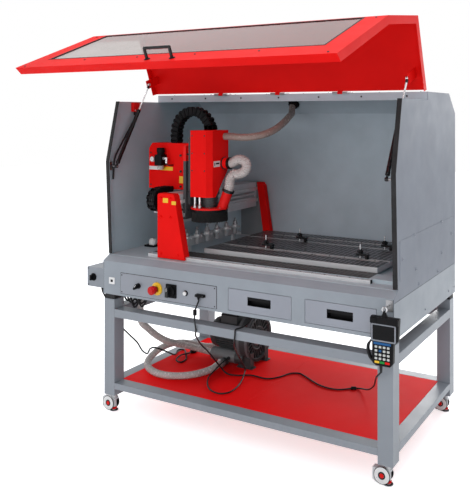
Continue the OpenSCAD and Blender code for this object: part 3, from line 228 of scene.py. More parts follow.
def piece(name, build, body, finishes, replaces=(), bevel=0.0, angle=38):
    """Makes a mesh piece that rides on a body. Given a tuple of two bodies with where it starts and ends, it
    rides on neither and is only fixed where it stands.
    """
    bmesh.ops.recalc_face_normals(build.bm, faces=build.bm.faces)
    mesh = bpy.data.meshes.new(name)
    build.bm.to_mesh(mesh)
    build.bm.free()
    mesh.transform(Matrix.Translation(CENTRE) @ Matrix.Scale(MM, 4))
    obj = bpy.data.objects.new(name, mesh)
    bpy.context.scene.collection.objects.link(obj)
    for finish in finishes if isinstance(finishes, (list, tuple)) else [finishes]:
        mesh.materials.append(finish)
    soften(obj, bevel, angle)
    if isinstance(body, tuple):
        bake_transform(obj)
    else:
        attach(obj, body)
    for node in replaces:
        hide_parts(node)
    return obj


def soften(obj, bevel, angle=38):
    """Smooth shading with sharp edges kept, and rounded edges of that many millimetres."""
    mesh = obj.data
    mesh.polygons.foreach_set("use_smooth", [True] * len(mesh.polygons))
    mesh.set_sharp_from_angle(angle=math.radians(angle))
    if bevel:
        round_edges(obj, bevel, angle)


def round_edges(obj, width, angle):
    """Rounds the edges sharper than an angle, in degrees, by a width in millimetres."""
    rounding = obj.modifiers.new("rounding", "BEVEL")
    rounding.width = width * MM
    rounding.segments = 2
    rounding.limit_method = "ANGLE"
    rounding.angle_limit = math.radians(angle)


def rounded(w, h, r, steps=5):
    """The outline of a rectangle with round corners, about its middle."""
    outline = []
    for quarter, (sx, sy) in enumerate(((1, 1), (-1, 1), (-1, -1), (1, -1))):
        for k in range(steps + 1):
            t = math.radians(90 * (quarter + k / steps))
            outline.append((sx * (w / 2 - r) + r * math.cos(t), sy * (h / 2 - r) + r * math.sin(t)))
    return outline


def polar(centre, r, degrees, u=X, v=Y):
    """The point at a radius and an angle about a centre, in the plane of u and v."""
    t = math.radians(degrees)
    return Vector(centre) + r * (math.cos(t) * u + math.sin(t) * v)


def corners(dx, dy):
    """The four corners of a rectangle about its middle."""
    return [(sx * dx, sy * dy) for sx in SIDES for sy in SIDES]


def smooth_line(points, steps):
    """A smooth line through the points of a route."""
    p = [Vector(q) for q in points]
    line = []
    for i in range(len(p) - 1):
        a, b, c, d = p[max(i - 1, 0)], p[i], p[i + 1], p[min(i + 2, len(p) - 1)]
        for k in range(steps):
            t = k / steps
            line.append(0.5 * (2 * b + (c - a) * t + (2 * a - 5 * b + 4 * c - d) * t * t
                               + (3 * b - a - 3 * c + d) * t ** 3))
    return line + [p[-1]]


def evened(line, step):
    """The same line with its points an even distance apart."""
    out, carry = [line[0]], 0.0
    for a, b in zip(line, line[1:]):
        length = (b - a).length
        spot = step - carry
        while spot < length:
            out.append(a.lerp(b, spot / length))
            spot += step
        carry = length - (spot - step)
    if (out[-1] - line[-1]).length > 0.3 * step:
        out.append(line[-1])
    return out


def headings(line):
    """The direction of a line at each of its points."""
    last = len(line) - 1
    return [(line[min(i + 1, last)] - line[max(i - 1, 0)]).normalized() for i in range(last + 1)]


# -------- finishes


class Nodes:
    """A node material in the making."""

    def __init__(self, name):
        self.material = bpy.data.materials.new(name)
        self.material.use_nodes = True
        self.tree = self.material.node_tree
        self.shader = self.tree.nodes["Principled BSDF"]
        self.place = self.add("ShaderNodeTexCoord").outputs["Object"]

    def add(self, kind, **values):
        node = self.tree.nodes.new(kind)
        for key, value in values.items():
            setattr(node, key, value)
        return node

    def link(self, output, target):
        self.tree.links.new(output, target)

    def drive(self, socket, output):
        """Lets an output drive a socket of the shader."""
        self.link(output, self.shader.inputs[socket])

    def set(self, socket, value):
        self.shader.inputs[socket].default_value = value

    def split(self, vector):
        """The three outputs of a vector taken apart."""
        node = self.add("ShaderNodeSeparateXYZ")
        self.link(vector, node.inputs["Vector"])
        return node.outputs

    def normal(self):
        return self.add("ShaderNodeNewGeometry").outputs["True Normal"]

    def noise(self, scale, detail=3.0, rough=0.55, stretch=(1, 1, 1)):
        """Noise of that many cells a metre."""
        mapping = self.add("ShaderNodeMapping")
        mapping.inputs["Scale"].default_value = [scale * s for s in stretch]
        self.link(self.place, mapping.inputs["Vector"])
        node = self.add("ShaderNodeTexNoise")
        node.inputs["Scale"].default_value = 1.0
        node.inputs["Detail"].default_value = detail
        node.inputs["Roughness"].default_value = rough
        self.link(mapping.outputs["Vector"], node.inputs["Vector"])
        return node.outputs["Fac"]

    def math(self, operation, a, b=0.0, clamp=False):
        node = self.add("ShaderNodeMath", operation=operation, use_clamp=clamp)
        for socket, value in zip(node.inputs, (a, b)):
            if isinstance(value, (int, float)):
                socket.default_value = value
            else:
                self.link(value, socket)
        return node.outputs["Value"]

    def spread(self, factor, low=0, high=1, start=0.3, end=0.7):
        """Maps a factor between start and end, where most noise lies, to low and high."""
        node = self.add("ShaderNodeMapRange")
        for name, value in zip(("From Min", "From Max", "To Min", "To Max"), (start, end, low, high)):
            node.inputs[name].default_value = value
        self.link(factor, node.inputs["Value"])
        return node.outputs["Result"]

    def mix(self, factor, a, b):
        """Mixes two colours, each a colour or an output."""
        node = self.add("ShaderNodeMix", data_type="RGBA")
        self.link(factor, node.inputs["Factor"])
        sockets = [s for s in node.inputs if s.type == "RGBA"]
        for socket, value in zip(sockets, (a, b)):
            if isinstance(value, (tuple, list)):
                socket.default_value = (*value[:3], 1)
            else:
                self.link(value, socket)
        return [s for s in node.outputs if s.type == "RGBA"][0]

    def bump(self, height, strength, distance_mm, normal=None):
        node = self.add("ShaderNodeBump")
        node.inputs["Strength"].default_value = strength
        node.inputs["Distance"].default_value = distance_mm * MM
        self.link(height, node.inputs["Height"])
        if normal is not None:
            self.link(normal, node.inputs["Normal"])
        return node.outputs["Normal"]

    def edges(self, width_mm=1.6):
        """How much a spot lies on an outer edge, from 0 to 1."""
        round_off = self.add("ShaderNodeBevel", samples=3)
        round_off.inputs["Radius"].default_value = width_mm * MM
        dot = self.add("ShaderNodeVectorMath", operation="DOT_PRODUCT")
        self.link(round_off.outputs["Normal"], dot.inputs[0])
        self.link(self.add("ShaderNodeNewGeometry").outputs["Normal"], dot.inputs[1])
        return self.spread(dot.outputs["Value"], 1.0, 0.0, 0.75, 0.99)


def shade(colour, factor):
    return tuple(min(1.0, c * factor) for c in colour)


def painted(name, colour, rough=0.42, vary=0.05, peel=0.10, edge_highlight=0.35, grain=420, metal=0.0, gloss=0.4):
    """Powder coat or cast plastic: soft blotches, orange peel and a painted highlight on its edges."""
    n = Nodes(name)
    blotch = n.noise(5.0, 4.0)
    base = n.mix(n.spread(blotch), shade(colour, 1 - vary), shade(colour, 1 + vary))
    speck = n.spread(n.noise(grain * 1.7, 2.0), 0, 0.2, 0.55, 0.75)
    base = n.mix(speck, base, shade(colour, 0.88))
    if edge_highlight:
        # the edges are painted paler in patches: a painted highlight
        pale = tuple(min(1.0, c * 1.2 + 0.012) for c in colour)
        edge_highlight_mask = n.math("MULTIPLY", n.edges(), n.spread(n.noise(60, 3), 0.2 * edge_highlight, edge_highlight, 0.35, 0.65))
        base = n.mix(edge_highlight_mask, base, pale)
    n.drive("Base Color", base)
    n.drive("Roughness", n.spread(n.noise(14, 4), rough - 0.03, rough + 0.03))
    n.drive("Normal", n.bump(n.noise(grain, 2.0), 0.5 * peel, 0.3))
    n.set("Metallic", metal)
    n.set("Specular IOR Level", gloss)
    n.set("Coat Weight", 0)
    n.set("Coat Roughness", 0.12)
    return n.material


def brushed(name, colour, rough=0.32, along=(1, 0.02, 0.02), lines=700, metal=1.0, depth=0.18):
    """Drawn or brushed metal with fine lines along one direction."""
    n = Nodes(name)
    stretch = tuple(0.02 if a == 1 else 1.0 for a in along)
    streak = n.noise(lines, 3.0, 0.6, stretch)
    stain = n.noise(9, 4.0)
    base = n.mix(n.spread(streak), shade(colour, 0.88), shade(colour, 1.08))
    base = n.mix(n.spread(stain, 0, 0.35, 0.5, 0.75), base, shade(colour, 0.75))
    n.drive("Base Color", base)
    n.drive("Roughness", n.spread(streak, rough - 0.08, rough + 0.10))
    n.drive("Normal", n.bump(streak, depth, 0.15))
    n.set("Metallic", metal)
    return n.material


def hose_wall(name, colour, dark, clear=0.25, rough=0.32):
    """Soft cloudy plastic hose with darker patches, and painted shade in its grooves."""
    n = Nodes(name)
    milk = n.noise(30, 4.0)
    base = n.mix(n.spread(milk), colour, shade(colour, 0.82))
    # grooves, where pointiness is low, are painted towards the dark colour: painted shade
    groove_shade = n.add("ShaderNodeNewGeometry").outputs["Pointiness"]
    base = n.mix(n.spread(groove_shade, 0.75, 0, 0.40, 0.50), base, dark)
    n.drive("Base Color", base)
    n.drive("Roughness", n.spread(n.noise(90, 3), rough - 0.08, rough + 0.08))
    n.drive("Normal", n.bump(n.noise(260, 2), 0.12, 0.3))
    n.set("Transmission Weight", clear)
    n.set("IOR", 1.35)
    return n.material


def pane(name):
    """Clear sheet with faint wipe marks."""
    n = Nodes(name)
    n.set("Transmission Weight", 1.0)
    n.set("IOR", 1.45)
    haze = n.noise(6, 5.0, 0.7)
    n.drive("Base Color", n.mix(n.spread(haze), (0.44, 0.37, 0.35), (0.38, 0.32, 0.30)))
    n.drive("Roughness", n.spread(haze, 0.02, 0.09, 0.35, 0.75))
    n.drive("Normal", n.bump(n.noise(3, 2), 0.02, 0.5))
    return n.material


UPWARD = 0.7


def worktop(name):
    """Dark glossy table face with a pale grid, and bare aluminium on its edges."""
    n = Nodes(name)
    place = n.split(n.place)

    def lines(axis, pitch, share):
        return n.math("LESS_THAN", n.math("FRACT", n.math("DIVIDE", place[axis], pitch)), share)
    cut = n.math("MAXIMUM", lines("X", 0.024, 0.22), lines("Y", 0.048, 0.10))
    top = n.math("GREATER_THAN", n.split(n.normal())["Z"], UPWARD)
    dust = n.noise(45, 5.0, 0.65)
    face = n.mix(n.spread(dust, 0, 1, 0.3, 0.75), (0.010, 0.010, 0.012), (0.020, 0.020, 0.022))
    face = n.mix(cut, face, (0.270, 0.275, 0.285))
    drawn = n.noise(500, 3, 0.6, (0.02, 1, 1))
    edge = n.mix(n.spread(drawn), (0.52, 0.52, 0.53), (0.62, 0.62, 0.63))
    n.drive("Base Color", n.mix(top, edge, face))
    n.drive("Roughness", n.spread(dust, 0.30, 0.40))
    n.drive("Metallic", n.math("MULTIPLY", n.math("SUBTRACT", 1.0, top), 0.4))
    n.set("Specular IOR Level", 0.35)
    sunk = n.math("MULTIPLY", n.math("MULTIPLY", cut, top), -1.0)
    n.drive("Normal", n.bump(sunk, 0.8, 1.2))
    return n.material


def rubber(name, colour=(0.018, 0.018, 0.020), rough=0.62):
    """Matt rubber with a fine skin."""
    n = Nodes(name)
    dust = n.noise(18, 5.0)
    n.drive("Base Color", n.mix(n.spread(dust, 0, 1, 0.35, 0.8), colour, shade(colour, 2.2)))
    n.drive("Roughness", n.spread(n.noise(120, 3), rough - 0.08, rough + 0.1))
    n.drive("Normal", n.bump(n.noise(700, 3), 0.2, 0.25))
    n.set("Specular IOR Level", 0.25)
    return n.material


def two_tone_upright(name, red, metal):
    """Red casting whose rear post has a bare grey plate beside its red strip."""
    n = Nodes(name)
    place = n.split(n.place)
    low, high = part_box("gantry_uprights")
    beam_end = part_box("gantry_beam")[1]
    lean, left, rear_y = 0.0432, beam_end.x - 0.004, beam_end.y - 0.002
    height = n.math("DIVIDE", n.math("SUBTRACT", high.z, place["Z"]), high.z - low.z)
    border = n.math("ADD", n.math("MULTIPLY", height, lean), left)
    rear = n.math("GREATER_THAN", place["Y"], rear_y)
    bare = n.math("MULTIPLY", rear, n.math("LESS_THAN", place["X"], border))
    blotch = n.noise(5, 4)
    coat = n.mix(n.spread(blotch), shade(red, 0.95), shade(red, 1.05))
    # the edges are painted paler in patches: a painted highlight
    pale = n.math("MULTIPLY", n.edges(), n.spread(n.noise(60, 3), 0.1, 0.4, 0.35, 0.65))
    coat = n.mix(pale, coat, tuple(min(1.0, c + 0.015) for c in red))
    n.drive("Base Color", n.mix(bare, coat, metal))
    n.drive("Roughness", n.spread(n.noise(14, 4), 0.42, 0.5))
    n.drive("Normal", n.bump(n.noise(420, 2), 0.04, 0.3))
    n.set("Specular IOR Level", RED_GLOSS)
    return n.material


RED = (0.80, 0.007, 0.006)
RED_GLOSS = 0.05
BLACK_GLOSS = 0.10
CAST_GRAIN, PLASTIC_GRAIN = 260, 700
GREY = (0.280, 0.300, 0.342)

grey_coat = painted("grey_coat", GREY, rough=0.40)
grey_frame = painted("grey_frame", (0.250, 0.275, 0.305), rough=0.40)
panel_coat = painted("panel_coat", (0.265, 0.285, 0.320), rough=0.40, edge_highlight=0.5)
deck_coat = painted("deck_coat", (0.440, 0.510, 0.550), rough=0.45, vary=0.06)
red_coat = painted("red_coat", RED, rough=0.48, peel=0.04, gloss=RED_GLOSS)
red_board = painted("red_board", (0.90, 0.005, 0.006), rough=0.55, vary=0.03, peel=0.03, edge_highlight=0.2,
                    gloss=RED_GLOSS)
red_upright = two_tone_upright("red_upright", RED, (0.20, 0.21, 0.22))
beam_metal = brushed("beam_metal", (0.56, 0.57, 0.59), rough=0.42, along=(0, 1, 0), lines=260, metal=0.2)
bright_metal = brushed("bright_metal", (0.68, 0.68, 0.69), rough=0.26, along=(1, 0, 0), metal=0.7)
rail_steel = brushed("rail_steel", (0.60, 0.60, 0.61), rough=0.30, along=(1, 0, 0), lines=500, metal=0.3)
dark_steel = brushed("dark_steel", (0.045, 0.045, 0.048), rough=0.34, along=(1, 0, 0), metal=0.6)
strip_metal = brushed("strip_metal", (0.50, 0.49, 0.48), rough=0.40, along=(1, 0, 0), lines=420, metal=0.6)
# name, colour, roughness, variation, orange peel, painted edge highlight and grain
black_case = painted("black_case", (0.005, 0.005, 0.006), 0.45, 0.15, edge_highlight=0.1, grain=900, gloss=BLACK_GLOSS)
black_gloss = painted("black_gloss", (0.006, 0.006, 0.007), 0.26, 0.1, 0.04, 0.1, grain=800, gloss=0.3)
cast_case = painted("cast_case", (0.040, 0.042, 0.043), 0.46, 0.14, 0.4, 0.4, CAST_GRAIN, gloss=0.3)
cast_rim = painted("cast_rim", (0.105, 0.112, 0.118), 0.34, 0.1, 0.2, 0.4, CAST_GRAIN)
cast_pale = painted("cast_pale", (0.150, 0.156, 0.160), 0.36, 0.12, 0.3, 0.3, CAST_GRAIN)
nylon = painted("nylon", (0.62, 0.63, 0.64), 0.40, peel=0.1, edge_highlight=0.2, grain=500)
silver_coat = painted("silver_coat", (0.56, 0.57, 0.58), 0.30, peel=0.05, edge_highlight=0.3, grain=500, metal=0.3)
grey_case = painted("grey_case", (0.22, 0.235, 0.265), 0.45, edge_highlight=0.1, grain=800)
white_case = painted("white_case", (0.74, 0.74, 0.73), 0.36, 0.03, 0.06, 0.0, PLASTIC_GRAIN)
red_case = painted("red_case", (0.70, 0.008, 0.007), 0.42, 0.04, 0.04, 0.1, PLASTIC_GRAIN, gloss=0.15)
yellow_case = painted("yellow_case", (0.83, 0.50, 0.02), 0.38, 0.04, 0.06, 0.1, PLASTIC_GRAIN)
blue_case = painted("blue_case", (0.01, 0.09, 0.26), 0.40, 0.05, 0.05, 0.0, PLASTIC_GRAIN, gloss=0.2)
green_case = painted("green_case", (0.01, 0.26, 0.04), 0.40, 0.05, 0.05, 0.0, PLASTIC_GRAIN, gloss=0.2)
key_white = painted("key_white", (0.52, 0.54, 0.52), 0.50, 0.05, 0.05, 0.0, PLASTIC_GRAIN)
screen = painted("screen", (0.002, 0.002, 0.003), 0.2, vary=0.2, peel=0.0, edge_highlight=0.0, gloss=0.12)
black_rubber = rubber("black_rubber", (0.010, 0.010, 0.011))
cable_skin = rubber("cable_skin", (0.008, 0.008, 0.009), 0.42)
bristles = rubber("bristles", (0.006, 0.006, 0.006), 0.75)
hose_pink = hose_wall("hose_pink", (0.72, 0.66, 0.64), (0.52, 0.42, 0.41))
hose_brown = hose_wall("hose_brown", (0.44, 0.34, 0.30), (0.17, 0.10, 0.085), clear=0.30, rough=0.22)
hose_smoke = hose_wall("hose_smoke", (0.60, 0.57, 0.55), (0.20, 0.18, 0.17), clear=0.25, rough=0.24)
window_pane = pane("window_pane")
table_face = worktop("table_face")


# -------- cords

SPLINE_STEPS = 12


def cord_piece(name, route, thick, body, finish, node,
               ribs=0.0, rib_depth=0.0, sides=12):
    """A cord or hose along its route. ribs is the pitch of its corrugations, or 0."""
    line = smooth_line(route, SPLINE_STEPS)
    fine = evened(line, ribs / 6 if ribs else 5.0)
    swell = thick / 2
    if ribs:
        def radius(s):
            return swell - rib_depth / 2 * (1 - math.cos(2 * math.pi * s / ribs))
    else:
        radius = swell
    obj = piece(name, Build().tube(fine, radius, sides), body, finish, [node], angle=75)
    way = evened(line, max(4.0, 0.3 * thick))
    return obj


tray_low, tray_high = span("base_tray")
base_z, apron_y, half_w = tray_low.z, tray_low.y, tray_high.x
plug_end = span("mains_plug")[1].y
shelf_z = span("stand_shelf")[1].z

VACUUM_D, MAINS_D, CABLE_D, SPINDLE_HOSE_D, DUST_HOSE_D = 34, 8, 7, 35, 48
silencer_z = shelf_z + 44
vacuum_feed = [
    (-668, -245, base_z), (-668, -245, 480), (-670, -238, 405), (-657, -200, 358), (-644, -150, 310),
    (-625, -100, 272), (-612, -35, 240), (-580, 25, 214), (-525, 55, 197), (-465, 60, silencer_z),
    (-440, 60, silencer_z),
]
vacuum_loop = [
    (-347, -5, 172), (-347, -35, 172), (-346, -80, 168), (-362, -135, 166), (-394, -190, 166),
    (-445, -232, 166), (-510, -252, 166), (-580, -246, 167), (-645, -215, 172), (-688, -165, 180),
    (-708, -100, 190), (-714, -35, 200), (-702, 30, 204), (-664, 80, 203), (-605, 103, 198),
    (-540, 122, 190), (-485, 150, silencer_z), (-460, 160, silencer_z), (-440, 160, silencer_z),
]
mains_route = [
    (-839, -330, base_z + 12), (-839, -330, 560), (-828, -325, 530), (-814, -300, 480), (-820, -255, 410),
    (-826, -210, 345), (-820, -160, 290), (-812, -110, 236), (-790, -98, 195), (-752, -100, 184),
    (-734, -97, 212), (-705, -91, 220), (-668, -60, 200), (-652, -10, 168), (-675, 40, 153),
    (-700, 90, 153), (-672, 108, 153), (-625, 60, 153), (-575, 0, 153), (-570, -50, 153),
    (-608, -40, 156), (-618, 10, 163), (-610, 60, 159), (-610, 85, 157),
]
handset_route = [
    (-172, -419, 631), (-172, -419, 613), (-176, -438, 573), (-185, -430, 529), (-190, -414, 479),
    (-194, -413, 459), (-207, -380, 426), (-245, -300, 369), (-281, -200, 301), (-297, -125, 235),
    (-290, -78, 180), (-262, -68, 154), (-213, -59, 152), (-150, -25, 152), (-60, -26, 152),
    (-15, 20, 152), (10, 85, 152), (50, 108, 152), (95, 88, 152), (209, 24, 152), (301, 17, 152),
    (360, 62, 152), (400, 70, 156), (470, 0, 190), (560, -150, 275), (640, -320, 375), (695, -440, 440),
    (722, -462, 470), (722, -462, 495),
]
blower_route = [
    (40, -300, base_z), (40, -300, 550), (35, -325, 520), (28, -360, 511), (24, -400, 513),
    (22, -413.5, 510), (20, -413.5, 488), (16, -413, 460), (-10, -375, 425), (-60, -290, 372),
    (-115, -190, 310), (-160, -90, 235), (-182, -30, 178), (-168, -62, 163), (-148, -115, 153),
    (-128, -185, 152), (-128, -250, 152), (-165, -280, 152), (-225, -262, 152), (-275, -215, 153),
    (-308, -160, 160), (-319, -105, 168), (-320, -45, 184), (-320, 10, silencer_z),
    (-320, 22, silencer_z),
]
spindle_hose_route = [
    (-208.7, -165, 1340), (-174, -165, 1340), (-110, -163, 1337), (-55, -142, 1341), (-15, -95, 1355),
    (-5, -20, 1378), (-18, 80, 1410), (-42, 170, 1436), (-72, 245, 1450), (-105, 305, 1465),
    (-115, 326.7, 1485.8), (-115, 340.4, 1500.1),
]
dust_hose_route = [
    (-168, -200, 1076), (-164.5, -199.4, 1085.4), (-160, -197, 1110), (-157, -193, 1140),
    (-140, -187, 1162), (-112, -182, 1165), (-87, -178, 1177), (-77, -174, 1200), (-91, -170, 1224),
    (-120, -170, 1232), (-148, -170, 1221), (-168, -170, 1212), (-184, -170, 1212),
]

# the plug at the end of the mains lead, with its strain relief
PIN_APART = 19
tip = Vector(mains_route[-1])
plug = Build()
grip = [(rounded(2 * a, 2 * b, b * 0.9), y) for a, b, y in
        ((7, 6, 0), (11, 7.4, 5), (17, 8.6, 14), (19, 9, 20), (19, 9, 33), (18, 8.2, 36))]
plug.loft([[(tip.x + a, tip.y + y, shelf_z + 9.05 + b) for a, b in ring] for ring, y in grip])
plug.use(1)
for side in SIDES:
    x, z = tip.x + side * PIN_APART / 2, shelf_z + 9
    plug.rod((x, tip.y + 35, z), (x, plug_end, z), 2.35, 16, 0.6)
mains_plug = piece("mains_plug_body", plug, "machine", [black_case, bright_metal],
                   ["mains_plug"], 0.8)


# its strain relief tapers along the lead's first stretch and has grooves
RELIEF_START, RELIEF_LENGTH, RELIEF_WIDE, RELIEF_NARROW, GROOVES = 2, 42, 8.2, 4.9, 6


def relief_radius(s):
    share = s / RELIEF_LENGTH
    grooved = share > 0.25 and math.sin(share * GROOVES * 2 * math.pi) < -0.3
    return RELIEF_WIDE + (RELIEF_NARROW - RELIEF_WIDE) * share - (0.8 if grooved else 0)


stretch = evened(smooth_line(mains_route, SPLINE_STEPS), 1.0)[RELIEF_START:RELIEF_START + RELIEF_LENGTH]
mains_relief = piece("mains_strain_relief", Build().tube(stretch, relief_radius, 20), "machine", black_rubber,
                     angle=50)
cord_piece("mains_lead", mains_route, MAINS_D, "machine", cable_skin, "mains_cord")

bead = Build()
for spot, axis in (((-177.5, -437.6, 566), (-0.03, 0.05, -1)), ((368, 64.4, 152.6), (1, 0.2, 0.1))):
    bead.lathe([(4.5, -13), (8, -11.5), (8.6, -9), (8.6, 9), (8, 11.5), (4.5, 13)], spot, axis, 24)
cable_beads = piece("cable_beads", bead, "machine", black_case)
handset_end = Build()
handset_end.lathe([(3.7, -30), (4.6, -28), (6.4, -6), (7.5, 0)], (722, -462, 496), Z, 20)
handset_relief = piece("handset_strain_relief", handset_end, "machine", black_rubber)
cord_piece("handset_cable", handset_route, CABLE_D, "machine", cable_skin, "stand_cables",
           sides=10)
cord_piece("blower_cable", blower_route, CABLE_D, "machine", cable_skin, "stand_cables",
           sides=10)
cord_piece("vacuum_feed_hose", vacuum_feed, VACUUM_D, "machine", hose_smoke, "vacuum_hose",
           ribs=6.5, rib_depth=1.9, sides=20)
cord_piece("vacuum_loop_hose", vacuum_loop, VACUUM_D, "machine", hose_smoke, "vacuum_hose",
           ribs=6.5, rib_depth=1.9, sides=20)
cord_piece("spindle_suction_hose", spindle_hose_route, SPINDLE_HOSE_D, "machine", hose_brown,
           "spindle_hose",
           ribs=7.0, rib_depth=1.0, sides=24)
cord_piece("dust_suction_hose", dust_hose_route, DUST_HOSE_D, "spindle_head", hose_pink,
           "dust_hose",
           ribs=9.0, rib_depth=3.0, sides=28)


# -------- control panel

PANEL_W, PANEL_H = 562, 98
panel_x, fitting_z, panel_y = -361, base_z + 62, apron_y - 2
estop_x, start_x = middle("estop_button").x, middle("start_button").x
main_x, selector_x = middle("main_switch_knob").x, middle("mode_selector").x
socket_x, usb_x = panel_x + 198, panel_x - 337

plate = Build()
plate.tile((PANEL_W, PANEL_H, 3), (panel_x, panel_y, fitting_z), 1.9)
piece("panel_plate", plate, "machine", panel_coat, ["control_panel"], 0.6)

# a dark rim a little wider than the plate, behind it: painted shadow in the gap round the panel
rim = Build()
rim.tile((PANEL_W + 4, PANEL_H + 4, 4), (panel_x, apron_y - 0.7, fitting_z), 0.7)
piece("panel_shadow_rim", rim, "machine", black_rubber)

fixings = Build()
for dx, dz in corners(PANEL_W / 2 - 9, PANEL_H / 2 - 9):
    fixings.button_bolt((panel_x + dx, panel_y, fitting_z + dz), -Y, 3.2)
piece("panel_screws", fixings, "machine", dark_steel)

collar = Build()
collar.lathe([(30, 0), (30, 4), (28, 7), (24, 8), (13, 8), (12.6, 7), (12.6, 0)],
             (estop_x, panel_y, fitting_z), -Y, 48)
piece("estop_collar", collar, "machine", yellow_case, bevel=0.4)

rings = Build()
rings.lathe([(13, 0), (13, 3.5), (11.8, 5), (9, 5), (9, 0)], (selector_x, panel_y, fitting_z), -Y, 40)
rings.lathe([(12.5, 0), (12.5, 2.5), (11.2, 4), (10, 4), (9.6, 0)], (start_x, panel_y, fitting_z), -Y, 40)
rings.tile((60, 62, 4), (main_x, panel_y, fitting_z), -5)
rings.tile((54, 56, 3), (main_x, panel_y - 5, fitting_z), -1)
for dx, dz in corners(24, 25):
    rings.button_bolt((main_x + dx, panel_y - 5.6, fitting_z + dz), -Y, 2.6)
piece("switch_collars", rings, "machine", black_case, bevel=0.4)

# the cable's plug in its socket, with two thumb screws
plug_in = Build()
plug_in.tile((48, 12, 2.5), (socket_x, panel_y - 1, fitting_z), -13)
plug_in.tile((34, 9, 2), (socket_x, panel_y - 13.5, fitting_z), -3)
plug_in.lathe([(4.2, 0), (6.5, -2), (6.5, -8), (4.0, -17)], (socket_x - 9, apron_y - 9, fitting_z - 2), Z, 18)
plug_in.use(1)
plug_in.tile((50, 14, 2), (socket_x, panel_y - 0.5, fitting_z), -0.8)
for x in (socket_x - 20, socket_x + 20):
    plug_in.rod((x, panel_y, fitting_z), (x, panel_y - 19, fitting_z), 3, 12, 0.6)
piece("data_plug", plug_in, "machine", [black_case, dark_steel], bevel=0.4)

usb = Build()
usb.tile((36, 32, 3), (usb_x, apron_y, fitting_z + 5), -2.4)
usb.use(1)
usb.tile((15, 12, 1), (usb_x, apron_y - 2.4, fitting_z + 5), -0.5)
piece("side_socket", usb, "machine", [white_case, black_gloss], bevel=0.4)

# white pointer lines on the selector and the main knob, and ribs round the main knob
SELECTOR_TURN = 35
marks = Build()
turned = Matrix.Rotation(math.radians(SELECTOR_TURN), 3, "Y")
face = (selector_x, span("mode_selector")[0].y, fitting_z)
marks.prism([(-1, -12.5), (1, -12.5), (1, 0), (-1, 0)], face, turned @ X, turned @ -Z, (0, -0.35, 0))
piece("selector_mark", marks, "selector", white_case)
marks = Build()
face = (main_x, span("main_switch_knob")[0].y, fitting_z)
marks.prism([(-1.3, 4), (1.3, 4), (1.3, 20), (-1.3, 20)], face, X, Z, (0, -0.35, 0))
piece("main_knob_mark", marks, "main_switch", white_case)
grip_ring = Build()
for k in range(24):
    spot = polar((main_x, panel_y - 6.6, fitting_z), 24.6, 15 * k, X, Z)
    grip_ring.rod(spot, spot - 9 * Y, 1.5, 8)
piece("main_knob_ribs", grip_ring, "main_switch", black_gloss)

# -------- side switch box

box_low, box_high = span("side_switch_box")
gland = Build()
gland_at = (*mains_route[0][:2], base_z + 14)
gland.lathe([(12, 0), (12, -7), (10.5, -9), (9, -11), (8.4, -12)], gland_at, Z, 6)
gland.lathe([(14, 0.3), (14, -1.5)], gland_at, Z, 28)
gland.lathe([(19, 0), (19, -2.5), (17, -3.5), (15.2, -3.5), (15.2, 0)],
            (middle("side_switch_knob").x, box_low.y - 0.05, fitting_z), Y, 36)
piece("side_box_gland", gland, "machine", black_case, bevel=0.3)
lid_screws = Build()
for x in (box_low.x + 9, box_high.x - 9):
    for z in (base_z + 22, base_z + 102):
        lid_screws.button_bolt((x, box_low.y, z), -Y, 3.2)
piece("side_box_screws", lid_screws, "machine", dark_steel)

# -------- housing

bolts = Build()
for sx in SIDES:
    for y, z in ((-182, 947), (189, 949), (346, 871), (189, 807), (-323, 873), (-168, 804)):
        bolts.button_bolt((sx * (half_w + 1.9), y, z), sx * X, 7)
    for y in (-123, 135):
        bolts.button_bolt((sx * half_w, y, base_z + 158), sx * X, 7)
    for y in (-372, -40, 300, 398):
        bolts.button_bolt((sx * half_w, y, base_z + 30), sx * X, 5)
piece("side_bolts", bolts, "machine", grey_coat)

tray_top = base_z + 144
rear_y, roof_z = span("rear_shell")[1].yz
seams = Build()
for sx in SIDES:
    near, far = sorted((sx * half_w, sx * (half_w + 0.3)))
    seams.box((near, apron_y + 1, tray_top - 0.7), (far, rear_y - 1, tray_top + 0.7))
    near, far = sorted((sx * 752, sx * 751))
    seams.box((near, apron_y - 0.3, base_z + 1), (far, apron_y, base_z + 158))
piece("panel_seams", seams, "machine", black_rubber)

# rear wall: rivets along its edges, and louvres behind the electrical bay
rear = Build()
for x in range(-720, 721, 120):
    for z in (base_z + 20, tray_top - 20, tray_top + 20, base_z + 850):
        rear.lathe([(4.5, 0.1), (4.5, -0.02), (3.9, -0.02), (3.9, 0.1)], (x, rear_y, z), -Y, 18)
piece("rear_rivets", rear, "machine", dark_steel)
vents = Build()
for row in range(6):
    z = base_z + 40 + row * 13
    for x in (-560, -430):
        vents.tile((100, 5, 2.4), (x, rear_y + 0.1, z), -0.2)
piece("rear_vents", vents, "machine", black_case)

# roof screws behind the lid's hinges, and the gland of the spindle hose
roof_bits = Build()
for x in range(-700, 701, 200):
    for y in (60, 290):
        roof_bits.button_bolt((x, y, roof_z), Z, 5)
piece("roof_screws", roof_bits, "machine", dark_steel)
port = Vector(spindle_hose_route[-1])
inward = (Vector(spindle_hose_route[-2]) - port).normalized()
nut = Build()
nut.lathe([(27, -4), (27, 10), (24, 14), (19.5, 18), (19.5, 6)], port, inward, 10)
nut.lathe([(31, -8), (31, -4), (27, -3)], port, inward, 36)
piece("roof_gland", nut, "machine", black_case, bevel=0.6)

# screws across the roof's front edge
brow = Build()
for x in range(-660, 661, 220):
    brow.button_bolt((x, -10, roof_z - 18), -Y, 4.5)
piece("brow_screws", brow, "machine", dark_steel)

# -------- deck and table

